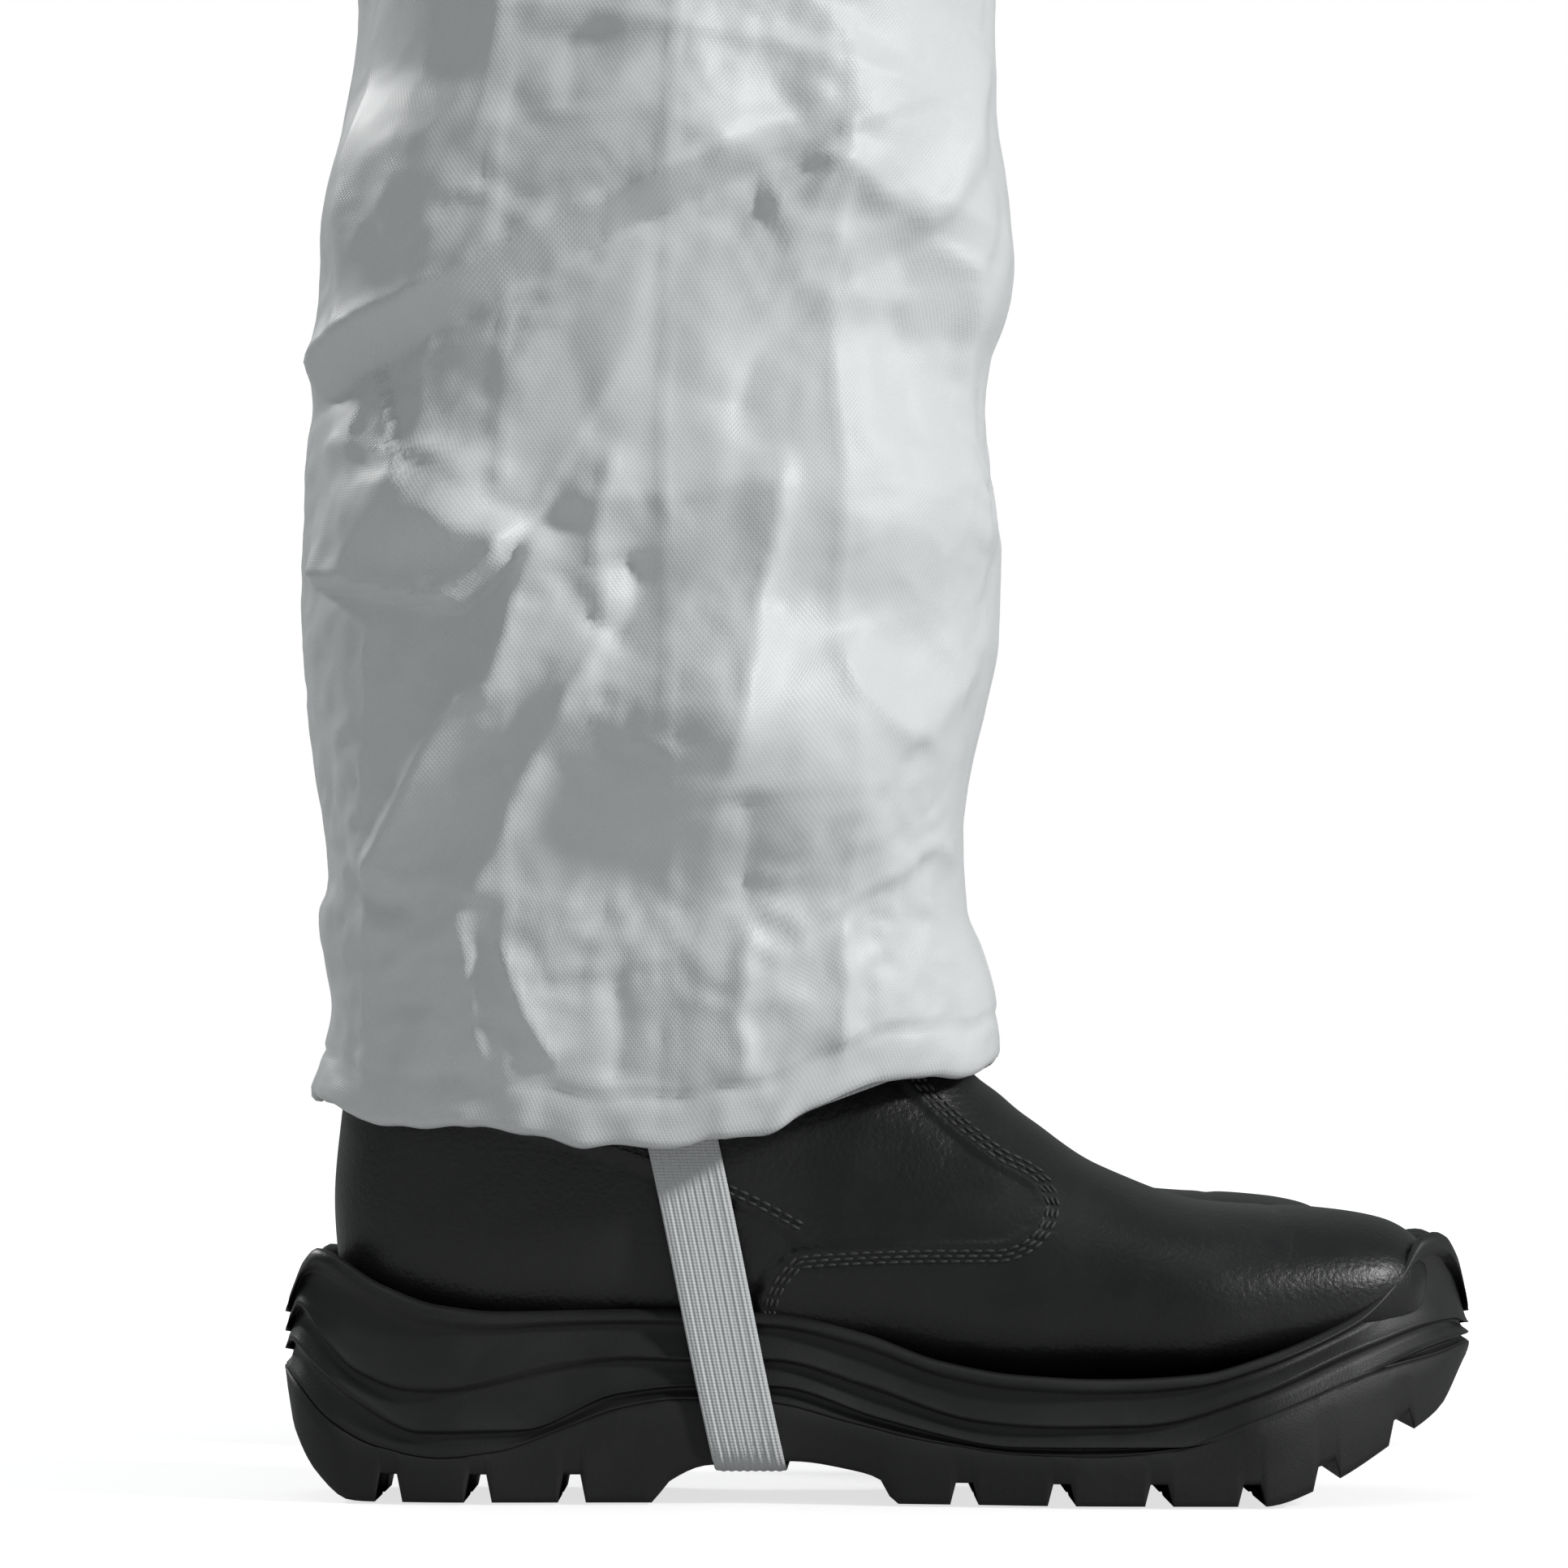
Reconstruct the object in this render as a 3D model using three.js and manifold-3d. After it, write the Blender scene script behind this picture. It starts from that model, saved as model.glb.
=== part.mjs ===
// A hooded chemical protective coverall, closed and filled out as it hangs on its wearer, with the two
// safety boots that its stirrup straps pass under. Millimetres, +Z up, +X the way the toes point, +Y the
// wearer's left. The origin is on the floor, in the middle of the whole figure.

import * as THREE from "three";
import { mergeVertices } from "three/addons/utils/BufferGeometryUtils.js";
import Module from "manifold-3d";

const wasm = await Module();
wasm.setup();

// ---------------------------------------------------------------- driving sizes
const FIT = 0.4; // clearance between pieces that touch
const FABRIC = 2.5; // wall of the fabric panels
const SEAM = 0.5; // gap between two sewn panels

const STANCE = 115; // each boot's middle, from the figure's middle
const CROTCH_Z = 790;
const NECK_Z = 1562;
const HOOD_TOP_Z = 1812;
const CHEST_X = 78; // the straight front line that the zip follows

const LEG_SIDES = 8; // facets across one leg panel
const SLEEVE_SIDES = 16;
const HOOD_SIDES = 20;
const LAST_SIDES = 16;
const SQUARENESS = { leg: 2.3, body: 3, hood: 2.3, sleeve: 2.2, last: 2.5 }; // 2 is an ellipse
const KNEE = { x: -75, z: 505, radius: 132 }; // the drum that the thigh and shin panels turn on
const ELBOW = { x: -55, z: 1105, radius: 86 };
const SHOULDER = { x: -55, y: 205, z: 1375, hole: 78 };

const ZIP = { low: 878, high: NECK_Z - 4, tapeWidth: 15, tape: 1.2, coil: 2.5, coilDepth: 2, slot: 0.7 };
const SLIDER = { width: 11, height: 14, plate: 1.6, web: 0.8, webInset: 2, z: ZIP.high - 22 };
const STOP = { width: 8, height: 8 };
const PULLER = { width: 6, tip: 4.8, length: 30, thickness: 1.2 };
const FLAP = { hinge: 30, free: 28, lift: 7.5, ramp: 8, turnIn: 10, edgeLift: 2.4, standoff: 0,
  thickness: 1.4, low: 884, high: NECK_Z - 26 };
const ADHESIVE = { width: 12, thickness: 0.6, margin: 4 };

const GUSSET = { length: 120, drop: 5 };
const WAIST = { z: 1100, height: 24, thickness: 1.5, from: 0.32 };
const CUFF = { height: 16, thickness: 1.4 };
const HEM = { back: 103, middle: 89, front: 111, middleX: -50, elastic: 9, thickness: 1.2, ease: 0.4 };
const STRAP = { width: 18, thickness: 1.2, lean: 0.22, middleX: -50, middleZ: 91, top: 128, underZ: 7.8,
  ease: 1.2, tuck: 2.8 };
const FACE = { z: 1662, halfHeight: 86, halfWidth: 70, band: 7, thickness: 1.6 };
const HOOD_STRIP = 42; // half the width of the hood's middle panel

const LEATHER = 2.2;
const LINING = 1;
const BONDED = 0.7; // clearance of the upper in the sole
const TOE_STEEL = 1.8;
const FOOTBED_Z = 38;
const COLLAR_Z = 168;
const TAB = { width: 18, thickness: 2.4, rise: 16, drop: 24, hollow: 1.7 };
const GROOVES = [-123, -100.5, -77, 21, 45, 69, 92, 111, 131]; // tread grooves, along the sole
const GROOVE = { mouth: 7.2, floor: 3.6, depth: 5 };

// Half widths of the sole on its outer and inner side, from the heel to the toe.
const SOLE_OUTER = [[-152, 0], [-147, 20], [-134, 32], [-105, 38.5], [-60, 38], [-25, 38.5], [15, 45],
  [55, 53], [90, 54], [118, 45], [137, 30], [148, 14], [152, 0]];
const SOLE_INNER = [[-152, 0], [-147, 20], [-134, 31], [-105, 36.5], [-60, 34], [-25, 33], [15, 38],
  [55, 46], [90, 49], [118, 43], [137, 30], [148, 14], [152, 0]];
// Side profiles of the sole: its upper edge, the line between foam and rubber, and the tread.
const SOLE_TOP = [[-152, 52], [-142, 60], [-130, 57], [-115, 51], [-98, 47.5], [-48, 47.5], [-17, 44.5],
  [25, 34], [67, 31], [98, 36], [125, 52], [138, 65], [146, 62], [152, 48]];
const SOLE_PARTING = [[-152, 38], [-142, 20], [-125, 13.5], [-109, 14], [-80, 22.5], [-48, 28], [-25, 27],
  [-5, 20.5], [25, 14], [56, 13], [87, 19.5], [129, 33], [152, 42]];
const SOLE_TREAD = [[-152, 30], [-148, 17], [-142, 7], [-133, 0.3], [-128, 0], [-57, 0], [-53, 5],
  [-43, 9.3], [-22, 10.3], [-6, 8], [0, 6], [4, 0], [95, 0], [110, 4.5], [129, 15], [142, 23], [152, 36]];

// The boot's upper as a fan of sections: the point at the sole or heel, the point on the instep, and half
// the width between them.
const LAST = [
  [[139, 50], [141, 55], 8], [[136, 43], [138.5, 63], 27], [[125, 38], [130, 69.5], 38],
  [[104, 33], [112, 72.7], 45], [[74, 28], [84, 74.2], 50], [[35, 27], [56, 84], 47],
  [[-12, 31], [26, 106], 40], [[-65, 32], [10, 126], 38], [[-112, 35], [4, 141], 38.5],
  [[-137, 52], [1.5, 150], 39], [[-140, 78], [0.5, 158], 40], [[-136, 116], [0, 164], 41],
  [[-133, COLLAR_Z], [0, COLLAR_Z], 42]];
const LAST_SAG = 0.16; // how far below its middle a section is widest, as a share of half its length
const LAST_LEAST = 0.6; // the least half size of a section drawn in by a layer
// How much of a layer's depth the first sections draw back from the toe.
const NOSE_DRAW = [1, 0.85, 0.5, 0.2];

// Edges of the vamp, the toe cap and the heel quarter, seen from the side.
const VAMP_EDGE = [[-33, 0], [-30, 48], [-20, 65], [31, 67.5], [38.5, 75], [8, 106], [-10, 135], [-14, 200]];
const TOE_STEEL_EDGE = [[82, FOOTBED_Z + 2], [110, FOOTBED_Z + 6], [126, 52], [200, 60]];
const QUARTER_EDGE = [[-20, 66], [-37, 76], [-82, 90.5], [-200, 108]];

// Leg sections by height: back, front, half width and middle (across).
const LEG = [[80, -145, 33, 56, STANCE], [103, -145, 33, 58, STANCE], [126, -140, 29, 62, STANCE],
  [158, -141, 24, 67, STANCE], [190, -144, 26, 71, STANCE], [227, -147, 31, 75, 114],
  [262, -147, 30, 77, 113], [311, -142, 34, 79, 112], [384, -134, 32, 81, 110], [450, -136, 36, 83, 108],
  [505, -140, 43, 85, 106], [600, -150, 55, 89, 103], [700, -163, 66, 92, 100], [CROTCH_Z, -170, 74, 93, 97]];
// Body sections by height: back, half width.
const BODY = [[CROTCH_Z, -172, 190], [880, -186, 198], [960, -190, 202], [1040, -172, 190],
  [WAIST.z, -150, 172], [1180, -158, 184], [1240, -168, 198], [1288, -178, 205], [1380, -188, 205],
  [1448, -186, 204], [1490, -168, 178], [1530, -130, 122], [NECK_Z, -108, 92]];
// Hood sections by height: back, front, half width.
const HOOD = [[NECK_Z, -110, CHEST_X, 94], [1600, -128, 77, 100], [1660, -140, 75, 107],
  [1710, -138, 69, 105], [1745, -126, 59, 95], [1775, -104, 42, 78], [1797, -78, 20, 54],
  [1808, -56, 2, 34], [HOOD_TOP_Z, -36, -14, 12]];
// Sleeve sections from the armhole to the wrist: inner edge (out, up), outer edge, half depth.
const SLEEVE = [
  [[204.8, 1287], [204.8, 1463], 84], [[207.5, 1284], [246, 1452], 82], [[209, 1281], [286, 1418], 79],
  [[210, 1277], [318, 1368], 75], [[211.5, 1270], [336, 1302], 71], [[216, 1222], [342, 1234], 68],
  [[226, 1160], [347, 1168], 66], [[233, 1100], [349, 1106], 65], [[240, 1040], [350, 1045], 63],
  [[249, 960], [349, 964], 57], [[258, 890], [345, 893], 49], [[263, 850], [341, 852], 43]];

// ---------------------------------------------------------------- materials
function paint(color, roughness, metalness = 0) {
  return new THREE.MeshStandardMaterial({ color, roughness, metalness });
}
const WHITE_FABRIC = paint(0xe9ecea, 0.62);
const ELASTIC = paint(0xdfe2de, 0.85);
const ZIP_TAPE = paint(0xe4e6e4, 0.8);
const ZIP_PLASTIC = paint(0xdadcda, 0.45);
const TAPE_GLUE = paint(0xf1efe4, 0.3);
const BLACK_LEATHER = paint(0x17171a, 0.42);
const MIDSOLE_FOAM = paint(0x1b1b1c, 0.6);
const TREAD_RUBBER = paint(0x151515, 0.75);
const STEEL = paint(0x9a9da0, 0.4, 1);
const FELT = paint(0x3c3c3e, 0.95);
const WEBBING = paint(0x202022, 0.9);

// ---------------------------------------------------------------- curves
const mix = (a, b, t) => a + (b - a) * t;
const power = (v, p) => Math.sign(v) * Math.abs(v) ** p;

// Smooth curve through rows [x, value, value...] that doesn't overshoot; returns the column's value at x.
function along(rows, column = 1) {
  const slope = rows.map((row, i) => {
    if (i === 0 || i === rows.length - 1) return 0;
    const before = (row[column] - rows[i - 1][column]) / (row[0] - rows[i - 1][0]);
    const after = (rows[i + 1][column] - row[column]) / (rows[i + 1][0] - row[0]);
    return before * after <= 0 ? 0 : (2 * before * after) / (before + after);
  });
  return (x) => {
    if (x <= rows[0][0]) return rows[0][column];
    if (x >= rows[rows.length - 1][0]) return rows[rows.length - 1][column];
    const i = rows.findIndex((row) => row[0] > x) - 1;
    const span = rows[i + 1][0] - rows[i][0];
    const t = (x - rows[i][0]) / span;
    const rise = t * t * (3 - 2 * t);
    return mix(rows[i][column], rows[i + 1][column], rise)
      + span * (slope[i] * t * (1 - t) ** 2 - slope[i + 1] * t * t * (1 - t));
  };
}

// Point on a superellipse in the plane: half sizes a and b, squareness n.
const squircle = (angle, a, b, n) => [a * power(Math.cos(angle), 2 / n), b * power(Math.sin(angle), 2 / n)];

// ---------------------------------------------------------------- meshes and solids
function geometryOf(points, faces) {
  const geometry = new THREE.BufferGeometry();
  geometry.setAttribute("position", new THREE.Float32BufferAttribute(points.flat(), 3));
  const volume = faces.reduce((sum, [a, b, c]) => sum + new THREE.Vector3(...points[a])
    .dot(new THREE.Vector3(...points[b]).cross(new THREE.Vector3(...points[c]))), 0);
  geometry.setIndex((volume < 0 ? faces.map(([a, b, c]) => [a, c, b]) : faces).flat());
  return geometry;
}

// Closed sheet between an outer and an inner surface, each a function of (u, v) from 0 to 1.
function sheetGeometry(outer, inner, nu, nv, closed) {
  const columns = closed ? nu : nu + 1;
  const points = [outer, inner].flatMap((surface) => Array.from({ length: columns * (nv + 1) }, (_, k) =>
    surface((k % columns) / nu, Math.floor(k / columns) / nv)));
  const at = (side, i, j) => side * columns * (nv + 1) + j * columns + (i % columns);
  const faces = [];
  const quad = (a, b, c, d) => faces.push([a, b, c], [a, c, d]);
  for (let j = 0; j < nv; j++)
    for (let i = 0; i < nu; i++) {
      quad(at(0, i, j), at(0, i + 1, j), at(0, i + 1, j + 1), at(0, i, j + 1));
      quad(at(1, i, j), at(1, i, j + 1), at(1, i + 1, j + 1), at(1, i + 1, j));
    }
  for (let i = 0; i < nu; i++) {
    quad(at(0, i, 0), at(1, i, 0), at(1, i + 1, 0), at(0, i + 1, 0));
    quad(at(0, i, nv), at(0, i + 1, nv), at(1, i + 1, nv), at(1, i, nv));
  }
  if (!closed)
    for (let j = 0; j < nv; j++) {
      quad(at(0, 0, j), at(0, 0, j + 1), at(1, 0, j + 1), at(1, 0, j));
      quad(at(0, nu, j), at(1, nu, j), at(1, nu, j + 1), at(0, nu, j + 1));
    }
  return geometryOf(points, faces);
}

// Solid through a stack of rings with as many points each; the two end rings are filled.
function ringGeometry(rings) {
  const n = rings[0].length;
  const points = rings.flat();
  const faces = [];
  for (let j = 0; j + 1 < rings.length; j++)
    for (let i = 0; i < n; i++) {
      const [a, b] = [j * n + i, j * n + ((i + 1) % n)];
      faces.push([a, b, b + n], [a, b + n, a + n]);
    }
  const top = (rings.length - 1) * n;
  for (let i = 0; i < n / 2; i++) {
    const [left, next] = [i + 1, i];
    const [right, before] = [(n - i - 1) % n, (n - i) % n];
    const cap = (base, flip) => {
      const corners = [next, left, right, before].map((k) => base + k);
      const triangles = [[0, 1, 2], [0, 2, 3]].map((t) => t.map((k) => corners[k]));
      triangles.filter((t) => new Set(t).size === 3).forEach((t) => faces.push(flip ? t.reverse() : t));
    };
    cap(0, true);
    cap(top, false);
  }
  return geometryOf(points, faces);
}

function solid(geometry) {
  const bare = geometry.clone();
  bare.deleteAttribute("normal");
  bare.deleteAttribute("uv");
  const merged = mergeVertices(bare, 1e-4);
  const mesh = new wasm.Mesh({
    numProp: 3,
    vertProperties: merged.attributes.position.array,
    triVerts: new Uint32Array(merged.index.array),
  });
  return new wasm.Manifold(mesh);
}

function geometry(made) {
  const mesh = made.getMesh();
  return new THREE.BufferGeometry()
    .setAttribute("position", new THREE.BufferAttribute(new Float32Array(mesh.vertProperties), 3))
    .setIndex(new THREE.BufferAttribute(new Uint32Array(mesh.triVerts), 1));
}

// Block from its lowest to its highest corner.
function block(low, high) {
  const size = high.map((v, i) => v - low[i]);
  return new THREE.BoxGeometry(...size).translate(...low.map((v, i) => v + size[i] / 2));
}

// Prism across the figure from an outline of [x, z] points.
function acrossPrism(outline, from, to) {
  const shape = new THREE.Shape(outline.map(([x, z]) => new THREE.Vector2(x, z)));
  return new THREE.ExtrudeGeometry(shape, { depth: to - from, bevelEnabled: false })
    .rotateX(Math.PI / 2).translate(0, to, 0);
}

// Round drum across the figure.
function drum({ x, z }, radius, from, to, sides = 48) {
  return new THREE.CylinderGeometry(radius, radius, to - from, sides).translate(x, (from + to) / 2, z);
}

function piece(name, shape, material) {
  const mesh = new THREE.Mesh(shape, material);
  mesh.name = name;
  return mesh;
}

// ---------------------------------------------------------------- fabric surfaces
const legBack = along(LEG, 1);
const legFront = along(LEG, 2);
const legHalf = along(LEG, 3);
const legMiddle = along(LEG, 4);
const bodyBack = along(BODY, 1);
const bodyHalf = along(BODY, 2);
const hoodBack = along(HOOD, 1);
const hoodFront = along(HOOD, 2);
const hoodHalf = along(HOOD, 3);
const hemBack = along([[-160, HEM.back], [HEM.middleX, HEM.middle], [40, HEM.front]]);

// The right leg, seen from above: angle 0 faces forward, and a quarter turn faces out.
function legPoint(angle, z, inset) {
  const [back, front] = [legBack(z), legFront(z)];
  const [x, y] = squircle(angle, (front - back) / 2 - inset, legHalf(z) - inset, SQUARENESS.leg);
  return [(front + back) / 2 + x, -legMiddle(z) - y, z];
}

// The trunk: angle 0 faces forward, and a quarter turn faces the wearer's right.
function bodyPoint(angle, z, inset) {
  const back = bodyBack(z);
  const [x, y] = squircle(angle, (CHEST_X - back) / 2 - inset, bodyHalf(z) - inset, SQUARENESS.body);
  return [(CHEST_X + back) / 2 + x, -y, z];
}

function hoodRing(z, inset) {
  return Array.from({ length: HOOD_SIDES }, (_, i) => {
    const [back, front] = [hoodBack(z), hoodFront(z)];
    const angle = (2 * Math.PI * i) / HOOD_SIDES;
    const [x, y] = squircle(angle, (front - back) / 2 - inset, hoodHalf(z) - inset, SQUARENESS.hood);
    return [(front + back) / 2 + x, -y, z];
  });
}

// The right sleeve: section number may be a fraction, and the angle starts at the section's inner edge.
const sleeveInner = [0, 1].map((k) => along(SLEEVE.map(([inner], i) => [i, inner[k]])));
const sleeveOuter = [0, 1].map((k) => along(SLEEVE.map(([, outer], i) => [i, outer[k]])));
const sleeveDepth = along(SLEEVE.map(([, , depth], i) => [i, depth]));
function sleevePoint(angle, section, inset) {
  const [out0, up0] = sleeveInner.map((f) => f(section));
  const [out1, up1] = sleeveOuter.map((f) => f(section));
  const length = Math.hypot(out1 - out0, up1 - up0);
  const [across, x] = squircle(angle, length / 2 - inset, sleeveDepth(section) - inset, SQUARENESS.sleeve);
  const share = 0.5 - across / length;
  return [SHOULDER.x + x, -mix(out0, out1, share), mix(up0, up1, share)];
}

// ---------------------------------------------------------------- trunk
// One trunk panel between two angles and two heights, stopped short of the zip at the front.
function trunkPanel(from, to, low, high, nu, nv) {
  const surface = (inset) => (u, v) => bodyPoint(mix(from, to, u), mix(low, high, v), inset);
  return sheetGeometry(surface(0), surface(FABRIC), nu, nv, false);
}

function trunk() {
  const group = new THREE.Group();
  const edge = SEAM / 2;
  const zipCut = solid(block([0, -ZIP.tapeWidth - SEAM, ZIP.low - SEAM],
    [CHEST_X + 10, ZIP.tapeWidth + SEAM, NECK_Z + 10]));
  const armHoles = solid(drum(SHOULDER, SHOULDER.hole, -300, 300, 24));
  const sideSeam = Math.PI / 2;
  const seamAngle = 0.004; // half of a side seam's gap, as an angle round the trunk
  const halves = [["right", 1], ["left", -1]];
  const parts = [["lower", CROTCH_Z + edge, WAIST.z - edge, 4], ["chest", WAIST.z + edge, NECK_Z - edge, 8]];
  for (const [level, low, high, rows] of parts) {
    for (const [side, sign] of halves) {
      const panel = trunkPanel(sign * seamAngle, sign * (sideSeam - seamAngle), low, high, 8, rows);
      const cut = solid(panel).subtract(zipCut).subtract(armHoles);
      group.add(piece(`${level}_front_${side}`, geometry(cut), WHITE_FABRIC));
    }
    const back = trunkPanel(sideSeam + seamAngle, 2 * Math.PI - sideSeam - seamAngle, low, high, 14, rows);
    const name = level === "lower" ? "seat_back" : "upper_back";
    group.add(piece(name, geometry(solid(back).subtract(armHoles)), WHITE_FABRIC));
  }
  group.add(waistElastic(), crotchGusset());
  return group;
}

// Elastic around the back and sides, on the fabric's inner face.
function waistElastic() {
  const start = WAIST.from * Math.PI;
  const surface = (inset) => (u, v) =>
    bodyPoint(mix(start, 2 * Math.PI - start, u), WAIST.z + mix(-0.5, 0.5, v) * WAIST.height, inset);
  const face = FABRIC + FIT + 1;
  const band = sheetGeometry(surface(face), surface(face + WAIST.thickness), 18, 2, false);
  return piece("waist_elastic", band, ELASTIC);
}

// Diamond of fabric between the tops of the two legs.
function crotchGusset() {
  const half = legMiddle(CROTCH_Z) - legHalf(CROTCH_Z) - FIT;
  const middle = (legFront(CROTCH_Z) + legBack(CROTCH_Z)) / 2;
  const outline = [[GUSSET.length / 2, 0], [0, half], [-GUSSET.length / 2, 0], [0, -half]];
  const ring = (z) => outline.map(([x, y]) => [middle + x, y, z]);
  const diamond = ringGeometry([ring(CROTCH_Z - GUSSET.drop), ring(CROTCH_Z - FIT)]);
  return piece("crotch_gusset", diamond, WHITE_FABRIC);
}

// ---------------------------------------------------------------- zip and storm flap
function zipParts() {
  const group = new THREE.Group();
  const tapeX = CHEST_X - FABRIC;
  const coilX = tapeX + ZIP.tape + FIT / 2;
  for (const [side, sign] of [["right", -1], ["left", 1]]) {
    const strip = (x0, x1, y0, y1) => {
      const [low, high] = sign < 0 ? [-y1, -y0] : [y0, y1];
      return block([x0, low, ZIP.low], [x1, high, ZIP.high]);
    };
    group.add(piece(`zip_tape_${side}`, strip(tapeX, tapeX + ZIP.tape, ZIP.slot, ZIP.tapeWidth), ZIP_TAPE));
    const coil = strip(coilX, coilX + ZIP.coilDepth, ZIP.slot, ZIP.slot + ZIP.coil);
    group.add(piece(`zip_coil_${side}`, coil, ZIP_PLASTIC));
  }
  const stop = block([coilX, -STOP.width / 2, ZIP.low - FIT - STOP.height],
    [coilX + ZIP.coilDepth, STOP.width / 2, ZIP.low - FIT]);
  group.add(piece("zip_bottom_stop", stop, ZIP_PLASTIC));
  group.add(slider(coilX + ZIP.coilDepth + FIT, tapeX - FIT), puller(coilX + ZIP.coilDepth + FIT));
  return group;
}

// Two plates, one each side of the chain, joined by a web in the slot between the coils.
function slider(frontX, backX) {
  const half = SLIDER.height / 2;
  const plate = (x) => solid(block([x, -SLIDER.width / 2, SLIDER.z - half],
    [x + SLIDER.plate, SLIDER.width / 2, SLIDER.z + half]));
  const web = solid(block([backX - SLIDER.plate / 2, -SLIDER.web / 2, SLIDER.z - half + SLIDER.webInset],
    [frontX + SLIDER.plate / 2, SLIDER.web / 2, SLIDER.z + half - SLIDER.webInset]));
  const body = plate(frontX).add(plate(backX - SLIDER.plate)).add(web);
  return piece("zip_slider", geometry(body), ZIP_PLASTIC);
}

// Flat tab that hangs in front of the slider from the pivot at its top.
function puller(frontX) {
  const x = frontX + SLIDER.plate + FIT;
  const shape = new THREE.Shape();
  const [half, tip] = [PULLER.width / 2, PULLER.tip / 2];
  shape.absarc(0, 0, half, 0, Math.PI, false);
  shape.absarc(0, -PULLER.length + half, tip, Math.PI, 2 * Math.PI, false);
  const options = { depth: PULLER.thickness, bevelEnabled: false, curveSegments: 6 };
  const tab = new THREE.ExtrudeGeometry(shape, options)
    .rotateX(Math.PI / 2).rotateZ(Math.PI / 2).translate(x, 0, SLIDER.z);
  return piece("zip_puller", tab, ZIP_PLASTIC);
}

// Strip over the zip: sewn at the wearer's left, raised over the slider and puller.
function stormFlap() {
  const group = new THREE.Group();
  const foot = CHEST_X + FLAP.standoff;
  const inner = foot + FLAP.lift;
  const turn = -FLAP.free + FLAP.turnIn;
  const profile = [[foot, FLAP.hinge], [inner, FLAP.hinge - FLAP.ramp], [inner, turn],
    [foot + FLAP.edgeLift, -FLAP.free]];
  const side = (shift) => profile.map(([x, y]) => [x + shift, y]);
  const outline = [...side(0), ...side(FLAP.thickness).reverse()];
  const shape = new THREE.Shape(outline.map(([x, y]) => new THREE.Vector2(x, y)));
  const strip = new THREE.ExtrudeGeometry(shape, { depth: FLAP.high - FLAP.low, bevelEnabled: false });
  group.add(piece("storm_flap", strip.translate(0, 0, FLAP.low), WHITE_FABRIC));
  const glueX = inner - FIT - ADHESIVE.thickness;
  const glue = block([glueX, turn + FIT, FLAP.low + ADHESIVE.margin],
    [glueX + ADHESIVE.thickness, turn + FIT + ADHESIVE.width, FLAP.high - ADHESIVE.margin]);
  group.add(piece("flap_adhesive_strip", glue, TAPE_GLUE));
  return group;
}

// ---------------------------------------------------------------- hood
function hood() {
  const group = new THREE.Group();
  const filled = (inset) => {
    const rings = HOOD.map(([z], i) => hoodRing(z, inset).map(([x, y]) => [x, y,
      i === 0 && inset > 0 ? z - 6 : z - inset * (z - NECK_Z) / (HOOD_TOP_Z - NECK_Z)]));
    return solid(ringGeometry(rings));
  };
  const shell = (outer, inner) => filled(outer).subtract(filled(inner));
  const oval = (grow) => {
    const [height, width] = [FACE.halfHeight + grow, FACE.halfWidth + grow];
    return solid(new THREE.CylinderGeometry(1, 1, 300, 24).rotateZ(Math.PI / 2)
      .scale(1, width, height).translate(150, 0, FACE.z));
  };
  const raise = NECK_Z + SEAM / 2;
  const above = solid(block([-300, -300, raise], [300, 300, HOOD_TOP_Z + 20]));
  const fabric = shell(0, FABRIC).subtract(oval(0)).intersect(above);
  const strip = (half) => solid(block([-300, -half, NECK_Z], [300, half, HOOD_TOP_Z + 20]))
    .subtract(solid(block([-20, -300, 0], [300, 300, FACE.z])));
  group.add(piece("hood_middle_panel", geometry(fabric.intersect(strip(HOOD_STRIP))), WHITE_FABRIC));
  const rest = fabric.subtract(strip(HOOD_STRIP + SEAM));
  for (const [side, low, high] of [["right", -300, -SEAM / 2], ["left", SEAM / 2, 300]]) {
    const half = solid(block([-300, low, 0], [300, high, HOOD_TOP_Z + 20]));
    group.add(piece(`hood_side_${side}`, geometry(rest.intersect(half)), WHITE_FABRIC));
  }
  const lining = shell(FABRIC + FIT, FABRIC + FIT + FACE.thickness);
  const band = lining.intersect(oval(FACE.band)).subtract(oval(0)).intersect(above);
  group.add(piece("face_elastic", geometry(band), ELASTIC));
  return group;
}

// ---------------------------------------------------------------- limbs of the right side
const sided = (side, name) => `${side}_${name}`;

// Front and back panels of the leg, parted at the knee on a drum that lets the shin swing back.
function legPanels(side) {
  const thigh = new THREE.Group();
  const shin = new THREE.Group();
  const seamAngle = 0.006; // half of a side seam's gap, as an angle round the leg
  const ranges = {
    front: [-Math.PI / 2 + seamAngle, Math.PI / 2 - seamAngle],
    back: [Math.PI / 2 + seamAngle, 1.5 * Math.PI - seamAngle],
  };
  const kneeDrum = (radius) => solid(drum(KNEE, radius, -300, 0));
  for (const [face, [from, to]] of Object.entries(ranges)) {
    const panel = (low, high, rows) => {
      const surface = (inset) => (u, v) => {
        const angle = mix(from, to, u);
        const hem = hemBack(legPoint(angle, HEM.front, 0)[0]);
        return legPoint(angle, mix(low ?? hem, high, v), inset);
      };
      return solid(sheetGeometry(surface(0), surface(FABRIC), LEG_SIDES, rows, false));
    };
    const upper = panel(KNEE.z - 20, CROTCH_Z - SEAM / 2, 5).subtract(kneeDrum(KNEE.radius + SEAM));
    const above = solid(block([-300, -300, KNEE.z], [300, 0, 2000])).subtract(kneeDrum(KNEE.radius));
    const lower = panel(null, KNEE.z + KNEE.radius + 10, 8).subtract(above);
    thigh.add(piece(sided(side, `thigh_${face}`), geometry(upper), WHITE_FABRIC));
    shin.add(piece(sided(side, `shin_${face}`), geometry(lower), WHITE_FABRIC));
  }
  return { thigh, shin };
}

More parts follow.
